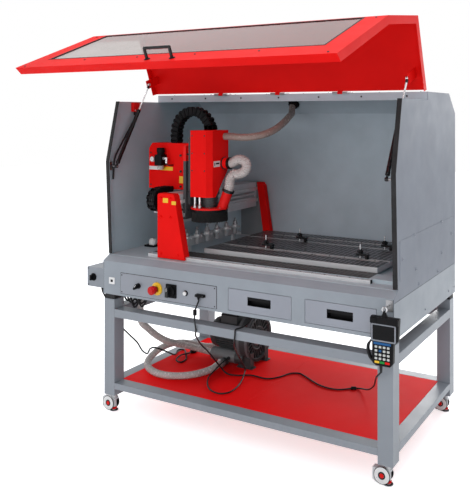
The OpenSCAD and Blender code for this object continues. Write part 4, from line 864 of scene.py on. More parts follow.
deck_z = base_z + 185
FOLD, RAIL_YS = 11.0, (-318, 385)
rail_low, rail_high = span("x_rails")
cover = Build()
folds = int((rail_high.x - rail_low.x - 4) / FOLD)
crests = [(rail_low.x + 2 + k * FOLD, 1.3 if k % 2 else 0.1) for k in range(folds)]
outline = crests + [(crests[-1][0], -0.4), (crests[0][0], -0.4)]
cover.prism(outline, (0, -297, deck_z + 15.3), X, Z, (0, 89, 0))
bellows = rubber("bellows", (0.035, 0.033, 0.033), 0.5)
piece("drive_bellows", cover, "machine", bellows, angle=12)

RAIL_SCREW = [(4.6, 0), (4.6, 0.25), (3.2, 0.25), (3.0, 0.1), (0, 0.1)]
rails = Build()
rail_ends = Build()
for y in RAIL_YS:
    for k in range(20):
        rails.lathe(RAIL_SCREW, (-520 + k * 58, y, rail_high.z), Z, 14)
    for x in (rail_low.x, rail_high.x):
        rail_ends.box((x - 1.5, y - 9, deck_z), (x + 1.5, y + 9, rail_high.z + 0.4))
piece("rail_screws", rails, "machine", dark_steel)
piece("rail_end_caps", rail_ends, "machine", black_case, bevel=0.4)

table_z = span("worktable")[1].z
STRIPS = ((-86, ((-232, 68), (78, 222), (232, 560))), (272, ((-201, 58), (68, 212), (222, 560))))
strips = Build()
for y, parts in STRIPS:
    for a, b in parts:
        strips.tile((b - a, 15, 1.5), ((a + b) / 2, y, table_z - 0.2), 1.4, Z)
piece("table_strips", strips, "machine", strip_metal, bevel=0.4)
BUSH = [(9, 0), (9, 0.5), (7, 0.9), (4, 0.9), (3.6, 0.4), (0, 0.4)]
strip_screws = Build()
for y, parts in STRIPS:
    for x in range(-210, 541, 75):
        strip_screws.cap_bolt((x, y, table_z + 1.1), Z, 3.4, 0.5)
for y in (-10, 60, 110, 220):
    for x in range(-240, 541, 130):
        strip_screws.lathe(BUSH, (x, y, table_z), Z, 20)
piece("table_screws", strip_screws, "machine", dark_steel)

# step clamps: threaded stud, star nut, arm with a slot, serrated heel
RIDGES, LOBES = 84, 6
thread = [(3.9 if k % 2 else 3.3, -9 + k * 73 / RIDGES) for k in range(RIDGES + 1)]
arm = [(-14, 14), (-14, 24), (6, 26), (34, 24), (40, 21), (40, 14)]
steps = [(28, 0), (40, 0)] + [(40 - (k % 2) * 2.2, 1 + k * 13.0 / 9) for k in range(10)] + [(28, 14)]
star = [polar((0, 0, 0), 13 + 2.4 * math.cos(math.radians(LOBES * t)), t).xy for t in range(0, 360, 10)]
clamps = Build()
for x, y in ((18, 171), (482, 171), (-36, -68), (461, -68)):
    foot = Vector((x, y, table_z))
    clamps.use(1)
    clamps.lathe([(0.1, -10)] + thread + [(2.6, 64), (0.1, 64.2)], foot, Z, 12)
    clamps.use(0)
    clamps.prism(arm, foot - 13 * Y, X, Z, (0, 26, 0))
    clamps.prism(steps, foot - 12 * Y, X, Z, (0, 24, 0))
    clamps.prism(star, foot + 27 * Z, X, Y, (0, 0, 11))
    clamps.lathe([(8, 0), (8, 4), (0, 4)], foot + 38 * Z, Z, 20)
piece("step_clamps", clamps, "machine", [black_gloss, bright_metal], ["table_clamps"], 0.5)

# -------- sensors

wall_x = 3 - half_w
sensor = Build()
spot = Vector((wall_x + 56, -120, deck_z))
sensor.tile((64, 64, 4), spot, 10, Z)
sensor.use(1)
sensor.lathe([(20, 9.5), (20, 30), (18.5, 34), (15, 36.5), (0, 36.5)], spot, Z, 40)
sensor.use(2)
sensor.lathe([(14, 36), (14, 41), (13, 42), (0, 42)], spot, Z, 36)
for dx, dy in corners(26, 26):
    sensor.cap_bolt(spot + Vector((dx, dy, 9.6)), Z, 3.6)
piece("tool_sensor", sensor, "machine", [black_case, white_case, bright_metal], ["sensors"],
      0.6)

switch_z, foot_z = base_z + 908, base_z + 617
safety = Build()
safety.tile((48, 48, 4), (wall_x + 0.1, -197, switch_z), 21, X)
safety.use(1)
safety.rod((wall_x + 10, -200, switch_z - 41), (wall_x + 10, -200, switch_z - 24), 9, 24, 1)
lead = [(wall_x + 10, -200, switch_z - 35), (wall_x + 10, -206, switch_z - 59),
        (wall_x + 10, apron_y + 90, foot_z + 80), (wall_x + 10, apron_y + 64, foot_z + 36),
        (wall_x + 9, apron_y + 58, foot_z - 10), (wall_x + 5, apron_y + 58, foot_z - 66)]
safety.tube(smooth_line(lead, 8), 4.6, 12)
safety.use(2)
for d in (-16, 16):
    safety.button_bolt((wall_x + 21, d - 197, switch_z + d), X, 3.4)
piece("safety_switch", safety, "machine", [red_case, black_rubber, bright_metal], bevel=0.8)

# -------- drawers

# a liner of four walls and a back in each front's opening, with a lip for the fingers
GRIP_HALF, GRIP_LOW, GRIP_TOP, GRIP_WALL, GRIP_BACK = 57.9, 0.1, 36.9, 1.5, 25.9
GRIP_WALLS = (
    (-GRIP_HALF, GRIP_WALL - GRIP_HALF, GRIP_LOW, GRIP_TOP),
    (GRIP_HALF - GRIP_WALL, GRIP_HALF, GRIP_LOW, GRIP_TOP),
    (-GRIP_HALF, GRIP_HALF, GRIP_LOW, GRIP_LOW + GRIP_WALL),
    (-GRIP_HALF, GRIP_HALF, GRIP_TOP - GRIP_WALL, GRIP_TOP),
)
for side in ("left", "right"):
    grip = Vector((middle(side + "_drawer").x, apron_y, base_z + 49))
    liner = Build()
    for x0, x1, z0, z1 in GRIP_WALLS:
        liner.box(grip + Vector((x0, -0.25, z0)), grip + Vector((x1, GRIP_BACK, z1)))
    liner.box(grip + Vector((-GRIP_HALF, 24.5, GRIP_LOW)), grip + Vector((GRIP_HALF, GRIP_BACK, GRIP_TOP)))
    liner.prism([(0, 0), (3, 1), (9, 9), (9, 12), (0, 12)], grip + Vector((-55, 1.5, 23)), Y, Z, (110, 0, 0))
    piece(side + "_drawer_grip", liner, side + "_drawer_box", black_case, bevel=0.3)

# -------- blower

blower_x, blower_t, blower_y, blower_z = -200, 70, 132, shelf_z + 136
hub = (blower_x, blower_y, blower_z)


def around(radius, degrees, x):
    """A point at that angle about the blower's axis."""
    return polar((x, blower_y, blower_z), radius, degrees, Y, Z)


def rib(build, inner, outer, degrees, x, half, tall):
    """A radial rib on a round face of the blower."""
    a, b = around(inner, degrees, x), around(outer, degrees, x)
    side = (b - a).normalized().cross(X) * half
    build.loft([[p - side, p + side, p + side + tall * X, p - side + tall * X] for p in (a, b)])


# rolled rim, back plate with cast ribs, and a stepped hub
fan = Build()
fan.use(3)
fan.lathe([(104, -20), (104, -1), (107, 0), (116, 0), (118.3, -3), (118.3, -10), (117.9, -22), (117.9, -46),
           (118.3, -60), (118.3, -66), (115, -70)], hub, X, 72)
fan.use(0)
for k in range(24):
    rib(fan, 42, 103, 15 * k, blower_x - 22, 2, 13)
fan.lathe([(60, -22), (60, -10), (57, -8), (54, -10), (54, -22)], hub, X, 48)
fan.use(1)
fan.lathe([(38.3, -24), (38.3, -10), (35, -8), (20, -8), (18, -5), (8, -5), (0, -5)], hub, X, 40)
fan.use(2)
for k in range(8):
    fan.hex_bolt(around(111, 22.5 + 45 * k, blower_x - 1.0), X, 4.5)
for k in range(4):
    fan.button_bolt(around(28, 45 + 90 * k, blower_x - 8), X, 3.6)
piece("blower_fan_case", fan, "machine", [cast_case, cast_pale, dark_steel, cast_rim], bevel=0.5)

# the motor: fins all round except under its terminal box, a cowl with a grille, and the box's lid
motor = Build()
fin_x, cowl_x, lid_x = blower_x - blower_t - 14, blower_x - blower_t - 190, blower_x - 160
for t in [t for t in range(0, 360, 10) if not 55 < t < 125]:
    a, b = around(74, t, fin_x), around(74, t, fin_x - 136)
    out = (a - Vector((fin_x, blower_y, blower_z))).normalized()
    side = out.cross(X) * 1.4
    motor.loft([[p - side, p + side, p + side * 0.6 + 8 * out, p - side * 0.6 + 8 * out] for p in (a, b)])
cowl = (cowl_x, blower_y, blower_z)
motor.lathe([(30, -0.5), (62, -0.5), (74, 3), (77.5, 10), (77.5, 36), (76, 37)], cowl, X, 60)
for r in (26, 38, 50):
    motor.lathe([(r, -0.4), (r, -2.2), (r + 3, -2.2), (r + 3, -0.4)], cowl, X, 48)
for k in range(8):
    rib(motor, 24, 58, 45 * k, cowl_x - 1.5, 1.4, 1.4)
motor.use(1)
motor.tile((104, 94, 8), (lid_x, blower_y, blower_z + 104), 5, Z)
motor.tile((96, 86, 7), (lid_x, blower_y, blower_z + 109), 1.2, Z)
motor.use(2)
for dx, dy in corners(44, 38):
    motor.button_bolt((lid_x + dx, blower_y + dy, blower_z + 109.8), Z, 3.6)
piece("blower_motor_fins", motor, "machine", [cast_case, black_case, dark_steel], bevel=0.4)

mufflers = Build()
for y in (60, 160):
    start = (blower_x - blower_t - 170, y, silencer_z)
    mufflers.use(0)
    mufflers.lathe([(26, -0.6), (30, 0), (33, 3), (33, 12), (32.2, 13), (32.2, 24), (33, 25), (33, 31),
                    (32.2, 32), (32.2, 140), (33, 141), (33, 150), (32.2, 151)], start, X, 48)
    mufflers.use(1)
    mufflers.lathe([(17.2, -1.5), (24, -1.5), (25, -0.4), (25, 0.2)], start, X, 36)
mufflers.use(0)
mufflers.lathe([(17.2, -2), (21.5, -2), (22.5, 0), (22.5, 10), (20.4, 12)], vacuum_loop[0], Y, 36)
mufflers.use(1)
mufflers.lathe([(4, -4), (8.4, -3), (9.4, 0), (9.4, 9)], blower_route[-1], Y, 6)
piece("blower_silencers", mufflers, "machine", [cast_pale, black_rubber], bevel=0.4)

feet = Build()
for y in (blower_y - 70, blower_y + 70):
    feet.tile((blower_t + 26, 40, 5), (blower_x - blower_t / 2, y, shelf_z), 5, Z)
    for sx in SIDES:
        feet.hex_bolt((blower_x - blower_t / 2 + sx * 41, y, shelf_z + 5), Z, 5)
piece("blower_feet", feet, "machine", cast_case, bevel=0.5)

bands = Build()
for spot, way in ((vacuum_loop[0], -Y), (vacuum_loop[-1], -X), (vacuum_feed[-1], -X), (vacuum_feed[0], -Z)):
    base = Vector(spot) + 6 * way
    bands.lathe([(16, 0), (18.1, 0.2), (18.1, 8.8), (16, 9)], base, way, 36)
    u, across = basis(way)
    centre = base + 20.6 * u + 4.5 * way
    bands.rod(centre - 8 * across, centre + 8 * across, 3, 12, 0.6)
piece("hose_bands", bands, "machine", bright_metal, bevel=0.2)

# wiring that hangs in loops under the housing, near the left front corner
loom = Build()
for k in range(7):
    x, drop, y = -664 + 15 * k, 26 + 9 * ((k * 5) % 4), -362 + 7 * (k % 3)
    route = [(x, y, base_z), (x + 1, y, base_z - 0.6 * drop), (x + 16, y + 4, base_z - drop - 8),
             (x + 36, y + 8, base_z - 0.7 * drop), (x + 40, y + 10, base_z)]
    loom.tube(smooth_line(route, 8), 4.4, 10)
loom.tile((120, 44, 6), (-612, -352, base_z), -9, Z)
piece("wiring_loom", loom, "machine", black_rubber, bevel=0.3)

# -------- handset

pad_low, pad_high = span("handset")
hx, top, hook_z = 736, base_z + 100, base_z + 136
front = pad_low.y + 8
hy = (front + pad_high.y) / 2


def silhouette(inset):
    """The handset's outline, drawn in by that many millimetres about its middle."""
    outline = [(-53, 91), (-53, 9), (-47, -7), (-47, -79), (-33, -95),
               (26, -95), (38, -81), (40, -7), (58, 7), (62, 81), (62, 91)]
    return [(hx + x * (1 - inset / 60), top - 85 + z * (1 - inset / 92)) for x, z in outline]


# its body in layers of (inset, depth), then the dark cap at its top
shell = Build()
layers = [(3, 0), (0.6, 2.5), (0.2, 6), (0.2, 20), (1.5, 24), (4, 26)]
shell.loft([[(x, front + y, z) for x, z in silhouette(inset)] for inset, y in layers])
shell.tile((114, 25, 4), (hx + 4.5, front, top - 7), -3.8)
shell.tile((22, 26, 4), (hx + 50.5, front - 3.8, top - 6), -3.8)
shell.tile((24, 20, 3), (hx - 40, front - 3.8, top - 8), -2.5)
for k in range(4):
    shell.tile((18, 1.6, 0.7), (hx + 50.5, front - 7.5, top - 14 + 5 * k), -0.4)
shell.lathe([(14, 4), (12.5, 8), (9, 14), (6, 24), (4.2, 27)], (hx, hy, top), Z, 32)
shell.use(1)
hoop = [polar((hx, hy, hook_z - 3.8), 9.5, t, X, Z) for t in range(-90, 271, 12)]
shell.tube(hoop, 2.45, 12)
shell.rod((hx, hy, top + 24), (hx, hy, hook_z - 13), 4, 20, 0.5)
shell.use(2)
shell.tile((100, 67, 5), (hx + 1, front, top - 53), -1.4)
shell.use(0)
shell.tile((78, 86, 6), (hx - 4, front, top - 131), -0.7)
shell.use(3)
shell.tile((88, 56, 2), (hx + 1, front - 1.4, top - 53), -0.5)
shell.use(4)
shell.tile((70, 9, 1.5), (hx - 4, front - 0.6, top - 94), -0.5)
piece("handset_shell", shell, "machine", [black_case, bright_metal, grey_case, screen, blue_case],
      ["handset"], 0.5)

keys = Build()
for row in range(4):
    for col in range(4):
        keys.use(1 if row == col == 1 else 0)
        keys.tile((10.5, 8.5, 2.2), (hx - 29 + 16.6 * col, front - 0.6, top - 107 - 14.6 * row), -1.5)
for index, col in ((2, 0), (3, 1.5), (4, 3)):
    keys.use(index)
    keys.tile((19, 8.5, 2.4), (hx - 25 + 14.0 * col, front - 0.6, top - 164.5), -1.7)
piece("handset_keys", keys, "machine", [key_white, blue_case, yellow_case, green_case, red_case],
      bevel=0.35)

strap = Build()
run = [(-46, -78), (-53, -89), (-65, -105), (-67, -128), (-58, -153), (-40, -170)]
line = smooth_line([(hx + x, hy, top + z) for x, z in run], 8)
webbing = ((3.4, -10), (3.4, 10), (-3.4, 10), (-3.4, -10))
strap.loft([[p + a * head.cross(Y) + b * Y for a, b in webbing] for p, head in zip(line, headings(line))])
piece("handset_strap", strap, "machine", black_rubber, bevel=1.0)

# -------- gantry

beam_low, beam_high = span("gantry_beam")
post_y = span("gantry_uprights")[0].y
TRACK_SCREW = [(4, 0), (4, 0.3), (2.6, 0.3), (2.4, 0.1), (0, 0.1)]
face_x = beam_high.x + 0.2
tracks = Build()
for z in (beam_high.z - 34, beam_high.z - 100):
    tracks.box((face_x - 10, beam_low.y + 0.5, z - 7.7), (face_x, beam_high.y - 0.5, z + 7.7))
    for k in range(11):
        tracks.lathe(TRACK_SCREW, (face_x, beam_low.y + 30 + 60 * k, z), X, 14)
piece("beam_tracks", tracks, "gantry", rail_steel, bevel=0.5)

# the thread winds round the bar once every PITCH millimetres
PITCH, GROOVE, SCREW_SIDES = 10.0, 1.3, 20
screw_low, screw_high = span("y_ball_screw")
screw_mid, length = middle("y_ball_screw"), screw_high.y - screw_low.y
screw_r = (screw_high.x - screw_low.x) / 2
rows = int(length / (PITCH / 8))
rings = []
for i in range(rows + 1):
    y = screw_low.y + length * i / rows
    turns = [(k / SCREW_SIDES, (y / PITCH - k / SCREW_SIDES) % 1.0) for k in range(SCREW_SIDES)]
    rings.append([polar((screw_mid.x, y, screw_mid.z), screw_r - (GROOVE if 0.35 < phase < 0.75 else 0),
                        360 * turn, X, Z) for turn, phase in turns])
screw = Build().loft(rings)
piece("ball_screw_thread", screw, "ball_screw", rail_steel, ["y_ball_screw"], angle=50)

gantry_bolts = Build()
for z in (1050, 960):
    for x in (-455, -398):
        gantry_bolts.cap_bolt((x, post_y + 0.2, z), -Y, 6.5, 0.9)
for x in (-455, -355):
    gantry_bolts.hex_bolt((x, post_y + 0.1, deck_z + 26), -Y, 6)
piece("gantry_bolts", gantry_bolts, "gantry", red_coat)

tags = Build()
tags.tile((31, 22, 2), (-427, post_y, 1038), -0.5)
tags.tile((26, 17, 2), (-377, post_y, 1028), -0.5)
piece("gantry_tags", tags, "gantry", yellow_case)


def chain(name, line, across, width, tall, body, node, pitch):
    """A cable chain: side plates in two layers, cross bars between them, and cables inside."""
    points = evened(line, pitch)
    build = Build()
    for i, (a, b) in enumerate(zip(points, points[1:])):
        along = (b - a).normalized()
        up = along.cross(across)
        mid, long = (a + b) / 2, (b - a).length
        layer = 0.0 if i % 2 else 1.6
        build.use(0)
        for side in SIDES:
            base = mid + side * (width / 2 - 2.2 - layer) * across
            plate = rounded(long * 1.22, tall, tall * 0.34, 4)
            build.prism(plate, base - 2.0 * across, along, up, 4.0 * across)
            pin = b + side * (width / 2 - 0.8) * across
            build.lathe([(4, 0), (4, 0.5), (2.5, 0.7), (0, 0.7)], pin, side * across, 12)
        bar = rounded(long * 0.5, 3, 1.2, 2)
        for side in SIDES:
            origin = mid + side * (tall / 2 - 2) * up - (width / 2 - 3) * across
            build.prism(bar, origin, along, up, (width - 6) * across)
    build.use(1)
    for offset, r in ((-0.26, 5.2), (0.05, 6.4), (0.3, 4.2)):
        build.tube([p + offset * width * across for p in evened(line, 9.0)], r, 10)
    return piece(name, build, body, [black_case, cable_skin], [node], 0.35)


# along the beam: a lower run, half a turn and a short upper run
BEND_R, STEP = 45, 9
bend = Vector((-520, -285, beam_low.z + 101.3))
loop = [bend + (345 - STEP * k) * Y - BEND_R * Z for k in range(345 // STEP)]
loop += [polar(bend, BEND_R, t, -Z, -Y) for t in range(0, 181, 6)]
loop += [bend + STEP * k * Y + BEND_R * Z for k in range(1, 11)]
chain("beam_cable_chain", loop, X, 49, 29, "gantry", "y_cable_chain", 22.0)

# over the head: on the machine this chain's far end goes up and down with the head; here it is fixed where it
# stands
ARCH_R = 106
cover_low, cover_high = span("carriage_cover")
arch_mid = Vector((-405, cover_low.y + 38, cover_high.z + 54))
arch = [arch_mid - ARCH_R * X + (STEP * k - 54) * Z for k in range(6)]
arch += [polar(arch_mid, ARCH_R, t, -X, Z) for t in range(0, 172, 5)]
follows = ("carriage", "spindle_head", metres((-490, 0, arch_mid.z)), metres((-320, 0, arch_mid.z)))
chain("lift_cable_chain", arch, Y, 46, 46, follows, "z_cable_chain", 24.0)

# -------- carriage

cover_y = cover_low.y
details = Build()
for z in (1242, 1163, 1088):
    details.cap_bolt((-456, cover_y, z), -Y, 6.0, 0.8)
details.cap_bolt((-393, cover_y, 1254), -Y, 5.0, 0.8)
for x, z in ((-648, 1090), (-648, 1252)):
    details.button_bolt((x, cover_y, z), -Y, 4.0)
plate_low, plate_high = span("carriage_plate")
for y in (plate_low.y + 12, plate_high.y - 12):
    for k in range(4):
        details.cap_bolt((plate_high.x - 12, y, plate_low.z + 40 + 90 * k), X, 4.4, 0.9)
for k in range(4):
    details.cap_bolt((-412, cover_y + 2, cover_low.z + 24 + 38 * k), -Y, 4.2, 0.8)
piece("carriage_bolts", details, "carriage", dark_steel)

tags = Build()
tags.tile((63, 18, 1.5), (-627, cover_y, 1175), -0.5)
tags.use(1)
tags.tile((83, 18, 1.5), (-548, cover_y, 1174), -0.5)
tags.tile((23, 34, 1.5), (-454, cover_y, 1122), -0.5)
piece("carriage_tags", tags, "carriage", [white_case, yellow_case])

rx, ry, rz = -565, cover_y - 22.5, cover_low.z + 118
gauge = Vector((rx - 44, span("air_regulator")[0].y + 22, rz + 31))
reg = Build()
reg.tile((42, 55, 6), (rx, cover_y - 44.5, rz + 27.5), 44.5)
reg.lathe([(19, 54), (19, 58), (17, 60), (17, 64), (19, 66), (19, 84), (17, 88), (0, 88)],
          (rx, ry, rz), Z, 28)
for k in range(18):
    spot = polar((rx, ry, rz + 67), 18.2, 20 * k)
    reg.rod(spot, spot + 16 * Z, 1.3, 6)
reg.use(1)
reg.lathe([(15.5, 2), (16, 0), (16, -16), (13, -21), (5, -22), (0, -22)], (rx, ry, rz), Z, 28)
reg.use(2)
reg.lathe([(13.8, 0), (13.8, 13), (12.6, 15), (11.6, 15), (11.2, 13.4), (0, 13.4)], gauge, -Y, 32)
reg.rod((rx - 44, ry + 8, rz + 31), (rx - 20, ry + 8, rz + 31), 4.8, 18, 0.5)
reg.rod((rx + 20, ry - 4, rz + 36), (rx + 40, ry - 4, rz + 36), 6.8, 18, 0.8)
reg.rod((rx + 40, ry - 4, rz + 42), (rx + 40, ry - 4, rz + 12), 6.8, 18, 0.8)
reg.use(3)
reg.lathe([(11.2, 13.5), (11.2, 13.9), (0, 13.9)], gauge, -Y, 28)
reg.use(0)
reg.prism([(-0.8, -2), (0.8, -2), (0.3, 9), (-0.3, 9)], gauge - 13.9 * Y, X, Z, (0, -0.25, 0))
piece("regulator_body", reg, "carriage", [black_case, hose_smoke, bright_metal, white_case],
      ["air_regulator"], 0.5)

air = Build()
route = [(rx + 40, ry - 4, rz + 14), (rx + 42, ry - 4, rz + 6), (rx + 52, ry + 4, rz + 2),
         (rx + 60, cover_y - 3, rz + 2), (rx + 61, cover_y + 2, rz + 2)]
air.tube(smooth_line(route, 8), 3.4, 10)
piece("air_line", air, "carriage", black_gloss)

# -------- spindle head

shoe_z = beam_low.z + 66


def on_axis(z):
    """A point on the spindle's axis."""
    return Vector((-265, -210, z))


# rings of tufts that lean a little each their own way
TUFTS = 150
brush = Build()
for row in range(3):
    for k in range(TUFTS):
        t = 360 * (k + 0.5 * (row % 2)) / TUFTS
        r = 84.5 - 9.0 * row
        foot_r = min(r + 0.6 + 0.9 * math.sin(5.3 * k + row), 86.4)
        foot_z = shoe_z - 59.5 + 1.5 * ((k * 7 + row) % 3)
        brush.rod(polar(on_axis(foot_z), foot_r, t), polar(on_axis(shoe_z - 3), r, t), 1.35, 5)
brush.use(1)
brush.lathe([(62.5, 0), (62.5, -12), (86.8, -12), (86.8, 0)], on_axis(shoe_z), Z, 72)
brush.lathe([(61.8, -1), (61.8, -54), (63.6, -56), (63.6, -1)], on_axis(shoe_z), Z, 72)
piece("brush_bristles", brush, "spindle_head", [bristles, black_case], ["dust_brush"])

shoe = Build()
for k in range(10):
    shoe.button_bolt(polar(on_axis(shoe_z + 8), 80, 18 + 36 * k), Z, 3.0)
for dx in (-40, -12):
    spot = on_axis(shoe_z + 8) + Vector((dx, -62, 0))
    shoe.lathe([(8.5, 0), (8.5, 8), (7, 9.5), (5.1, 9.5)], spot, Z, 6)
    shoe.lathe([(5.15, 9.5), (5.4, 10), (5.4, 118), (5.15, 119)], spot, Z, 24)
piece("dust_shoe_fittings", shoe, "spindle_head", bright_metal)

motor = Build()
hood_low = span("spindle_cover")[0]
for z in (hood_low.z - 14, hood_low.z - 26, hood_low.z - 38):
    motor.lathe([(40, -1), (40.8, 0), (40.8, 4), (40, 5)], on_axis(z), Z, 48)
for k in range(8):
    motor.cap_bolt(polar(on_axis(shoe_z + 9), 30, 22.5 + 45 * k), -Z, 3.2, 0.6)
piece("motor_rings", motor, "spindle_head", cast_case, bevel=0.3)

nose = Build()
nose_z = span("spindle_nose")[0].z
nose.lathe([(5, 0), (6, 0.5), (12.6, 13.5), (14, 16)], on_axis(nose_z), Z, 40)
nose.lathe([(16.3, 0), (16.3, 3)], on_axis(nose_z + 17), Z, 12)
for k in range(8):
    spot = polar(on_axis(nose_z + 20), 14.2, 45 * k)
    nose.rod(spot, spot + 16 * Z, 1.5, 8)
nose.use(1)
nose.lathe([(0, 0.3), (2.2, 0.3), (2.9, 1.4), (2.9, 6), (4.6, 7)], on_axis(nose_z), Z, 20)
piece("collet_nut", nose, "spindle_shaft", [bright_metal, dark_steel], bevel=0.2)

HOOD_SIDE = -209
hood_bits = Build()
hood_bits.tile((50, 28, 2), (HOOD_SIDE, -230, 1211), 0.6, X)
hood_bits.use(1)
hood_bits.tile((28, 7, 0.8), (HOOD_SIDE + 0.6, -224, 1213), 0.25, X)
hood_bits.tile((6, 15, 0.8), (HOOD_SIDE + 0.6, -247, 1211), 0.25, X)
hood_bits.use(2)
for z in (1345, 1262, 1180):
    for x in (-312, -240):
        hood_bits.button_bolt((x, hood_low.y, z), -Y, 3.6)
hood_bits.lathe([(27.2, 0), (30.5, 0.5), (30.5, 5), (27.2, 5.5)], (HOOD_SIDE, -170, 1212), X, 40)
piece("hood_fittings", hood_bits, "spindle_head", [white_case, black_case, dark_steel],
      bevel=0.15)

dust_line = [Vector(p) for p in dust_hose_route]
cuffs = Build()
for spot, next_spot in ((dust_line[0], dust_line[1]), (dust_line[-1], dust_line[-2])):
    way = (next_spot - spot).normalized()
    cuffs.lathe([(25.4, -1), (29.2, -0.4), (29.2, 11), (25.4, 11.6)], spot + 3 * way, way, 40)
piece("dust_hose_cuffs", cuffs, "spindle_head", black_gloss, bevel=0.3)

# -------- lid

LID_OPEN = 70
hinge = Vector((0, -18, roof_z))
swing = Matrix.Rotation(math.radians(-LID_OPEN), 3, "X")


def opened(y, z):
    """Where a point of the closed lid lies with the lid open."""
    return hinge + swing @ (Vector((0, y, z)) - hinge)


# the glazed leg runs from its knee down to its lip, and the window lies square to it
knee, lip = opened(-431, 1214), opened(-415, 739)
down = (lip - knee).normalized()
inward = opened(-415 + 475, 739 + 16) - lip
inward = (inward - inward.dot(down) * down).normalized()


def on_front(x, along, depth):
    """A point on the lid's glazed leg: along it upwards from its lower lip, and inwards from its face."""
    return x * X + lip - along * down + depth * inward


BAND = 7.0
leg = (lip - knee).length
half, low, high = half_w - 90, 101, leg - 8
sides = ((-half, half, low, low + BAND), (-half, half, high - BAND, high),
         (-half, BAND - half, low, high), (half - BAND, half, low, high))
seal = Build()
for x0, x1, a0, a1 in sides:
    ring = [(x0, a0), (x1, a0), (x1, a1), (x0, a1)]
    seal.loft([[on_front(x, a, depth) for x, a in ring] for depth in (-0.7, 1.9)])
piece("window_seal", seal, "lid", black_rubber, bevel=0.3)

pads = Build()
for x in (-60, 60):
    pads.lathe([(12, 0), (12, 1.6), (10.5, 3.2), (6.6, 3.6), (6.6, 6)], on_front(x, 34, 0), -inward, 32)
pads.use(1)
for x in (40 - half_w, half_w - 40):
    for along in (18, leg - 22):
        pads.button_bolt(on_front(x, along, 0), -inward, 4.2)
for x in (-420, -140, 140, 420):
    pads.button_bolt(on_front(x, 70, 0), -inward, 4.0)
piece("lid_fastenings", pads, "lid", [black_case, dark_steel], bevel=0.2)

leaves = Build()
for x in (-337, 0, 337):
    spot = hinge + x * X
    for side in SIDES:
        leaves.rod(spot + 63.5 * side * X, spot + 60 * side * X, 3.4, 12)
        for dx, dy in ((42, 22), (30, 36)):
            leaves.button_bolt(spot + Vector((side * dx, dy, 3.2)), Z, 3.2)
piece("hinge_screws", leaves, "machine", bright_metal)

# -------- lid struts

STRUT_X, STRUT_Y, STRUT_Z, BALL_Y, BALL_Z = 708, -371, 1192, -135, 1600
for side, x_sign in (("left", -1), ("right", 1)):
    base = Vector((x_sign * STRUT_X, STRUT_Y, STRUT_Z))
    way = Vector((x_sign * STRUT_X, BALL_Y, BALL_Z)) - base
    long = way.length
    barrel = Build()
    barrel.lathe([(6, 16.6), (9.6, 18), (10, 19), (10, 30), (9.3, 31), (9.3, 306), (10, 307), (10, 317),
                  (9, 318.6), (4.6, 318.6)], base, way, 32)
    piece(side + "_strut_sleeve", barrel, side + "_strut_barrel", black_gloss)
    eye = Build()
    eye.lathe([(4.2, long - 24), (6.2, long - 22), (6.2, long - 9), (5.4, long - 7)], base, way, 24)
    piece(side + "_strut_end", eye, side + "_strut_piston", dark_steel, bevel=0.2)
    stud = Build()
    spot = Vector((x_sign * (half_w - 6), STRUT_Y, STRUT_Z))
    for dz in (-15, 15):
        stud.cap_bolt(spot + dz * Z, -x_sign * X, 4.0, 0.7)
    stud.lathe([(9, 0), (9, 2), (7, 4)], spot, -x_sign * X, 6)
    piece(side + "_strut_foot_bolts", stud, "machine", dark_steel)

# -------- casters

CASTER_X, CASTER_Y, FORK_X, COVER_X, COVER_Z, FORK_HALF = 717.5, 375.5, 38, 20, 38, 18.6
for name, sx, sy in (("fl", -1, -1), ("fr", 1, -1), ("rl", -1, 1), ("rr", 1, 1)):
    post = Vector((sx * CASTER_X, sy * CASTER_Y, 0))
    wheel = middle("caster_wheel_" + name)
    wheel.x = post.x - FORK_X
    body = Build()
    for side in SIDES:
        body.hex_bolt(wheel + side * FORK_HALF * Y, side * Y, 5)
    # the red thumbwheel of the levelling screw and its rubber foot
    body.use(1)
    body.lathe([(10.9, 8.4), (13, 9.2), (13, 15.6), (10.9, 16.4)], post, Z, 36)
    for k in range(24):
        body.rod(polar(post + 9.2 * Z, 12.7, 15 * k), polar(post + 15.6 * Z, 12.7, 15 * k), 0.8, 5)
    body.use(2)
    body.lathe([(17.9, 0), (19, 0.8), (19, 3.6), (12, 5.4)], post, Z, 36)
    # round covers: a white disc with a black rim and hub, and a red cap
    for side in SIDES:
        cheek = (post.x - COVER_X, post.y + side * FORK_HALF, COVER_Z)
        body.use(2)
        body.lathe([(34.5, 0), (34.5, 1.4), (31.5, 2.0), (31.5, 0)], cheek, side * Y, 48)
        body.lathe([(15, 1.8), (15, 3.0), (9.5, 3.0), (9.5, 1.8)], cheek, side * Y, 36)
        body.use(3)
        body.lathe([(32, 0), (32, 2.2), (30, 3.0), (16, 3.0), (15, 2.0), (0, 2.0)], cheek, side * Y, 48)
        body.use(1)
        body.lathe([(9, 1.9), (9, 3.6), (7.5, 4.2), (0, 4.2)], cheek, side * Y, 24)
    piece("caster_foot_" + name, body, "swivel_" + name, [bright_metal, red_case, black_rubber, white_case],
          bevel=0.25)
    wheel_low, wheel_high = span("caster_wheel_" + name)
    tyre = Build()
    for side in SIDES:
        face = wheel + side * (wheel_high.y - wheel_low.y) / 2 * Y
        tyre.lathe([(21, -0.2), (21, 0.3), (19.5, 0.35), (18.5, -0.2)], face, side * Y, 40)
        tyre.lathe([(11, -0.2), (11, 0.8), (8, 1.2), (4.2, 1.2)], face, side * Y, 32)
        for t in range(0, 360, 60):
            tyre.rod(polar(face, 10.5, t, X, Z), polar(face, 19, t, X, Z), 0.7, 6)
    piece("caster_hub_" + name, tyre, "wheel_" + name, nylon, bevel=0.15)

# -------- finishes of the CAD nodes


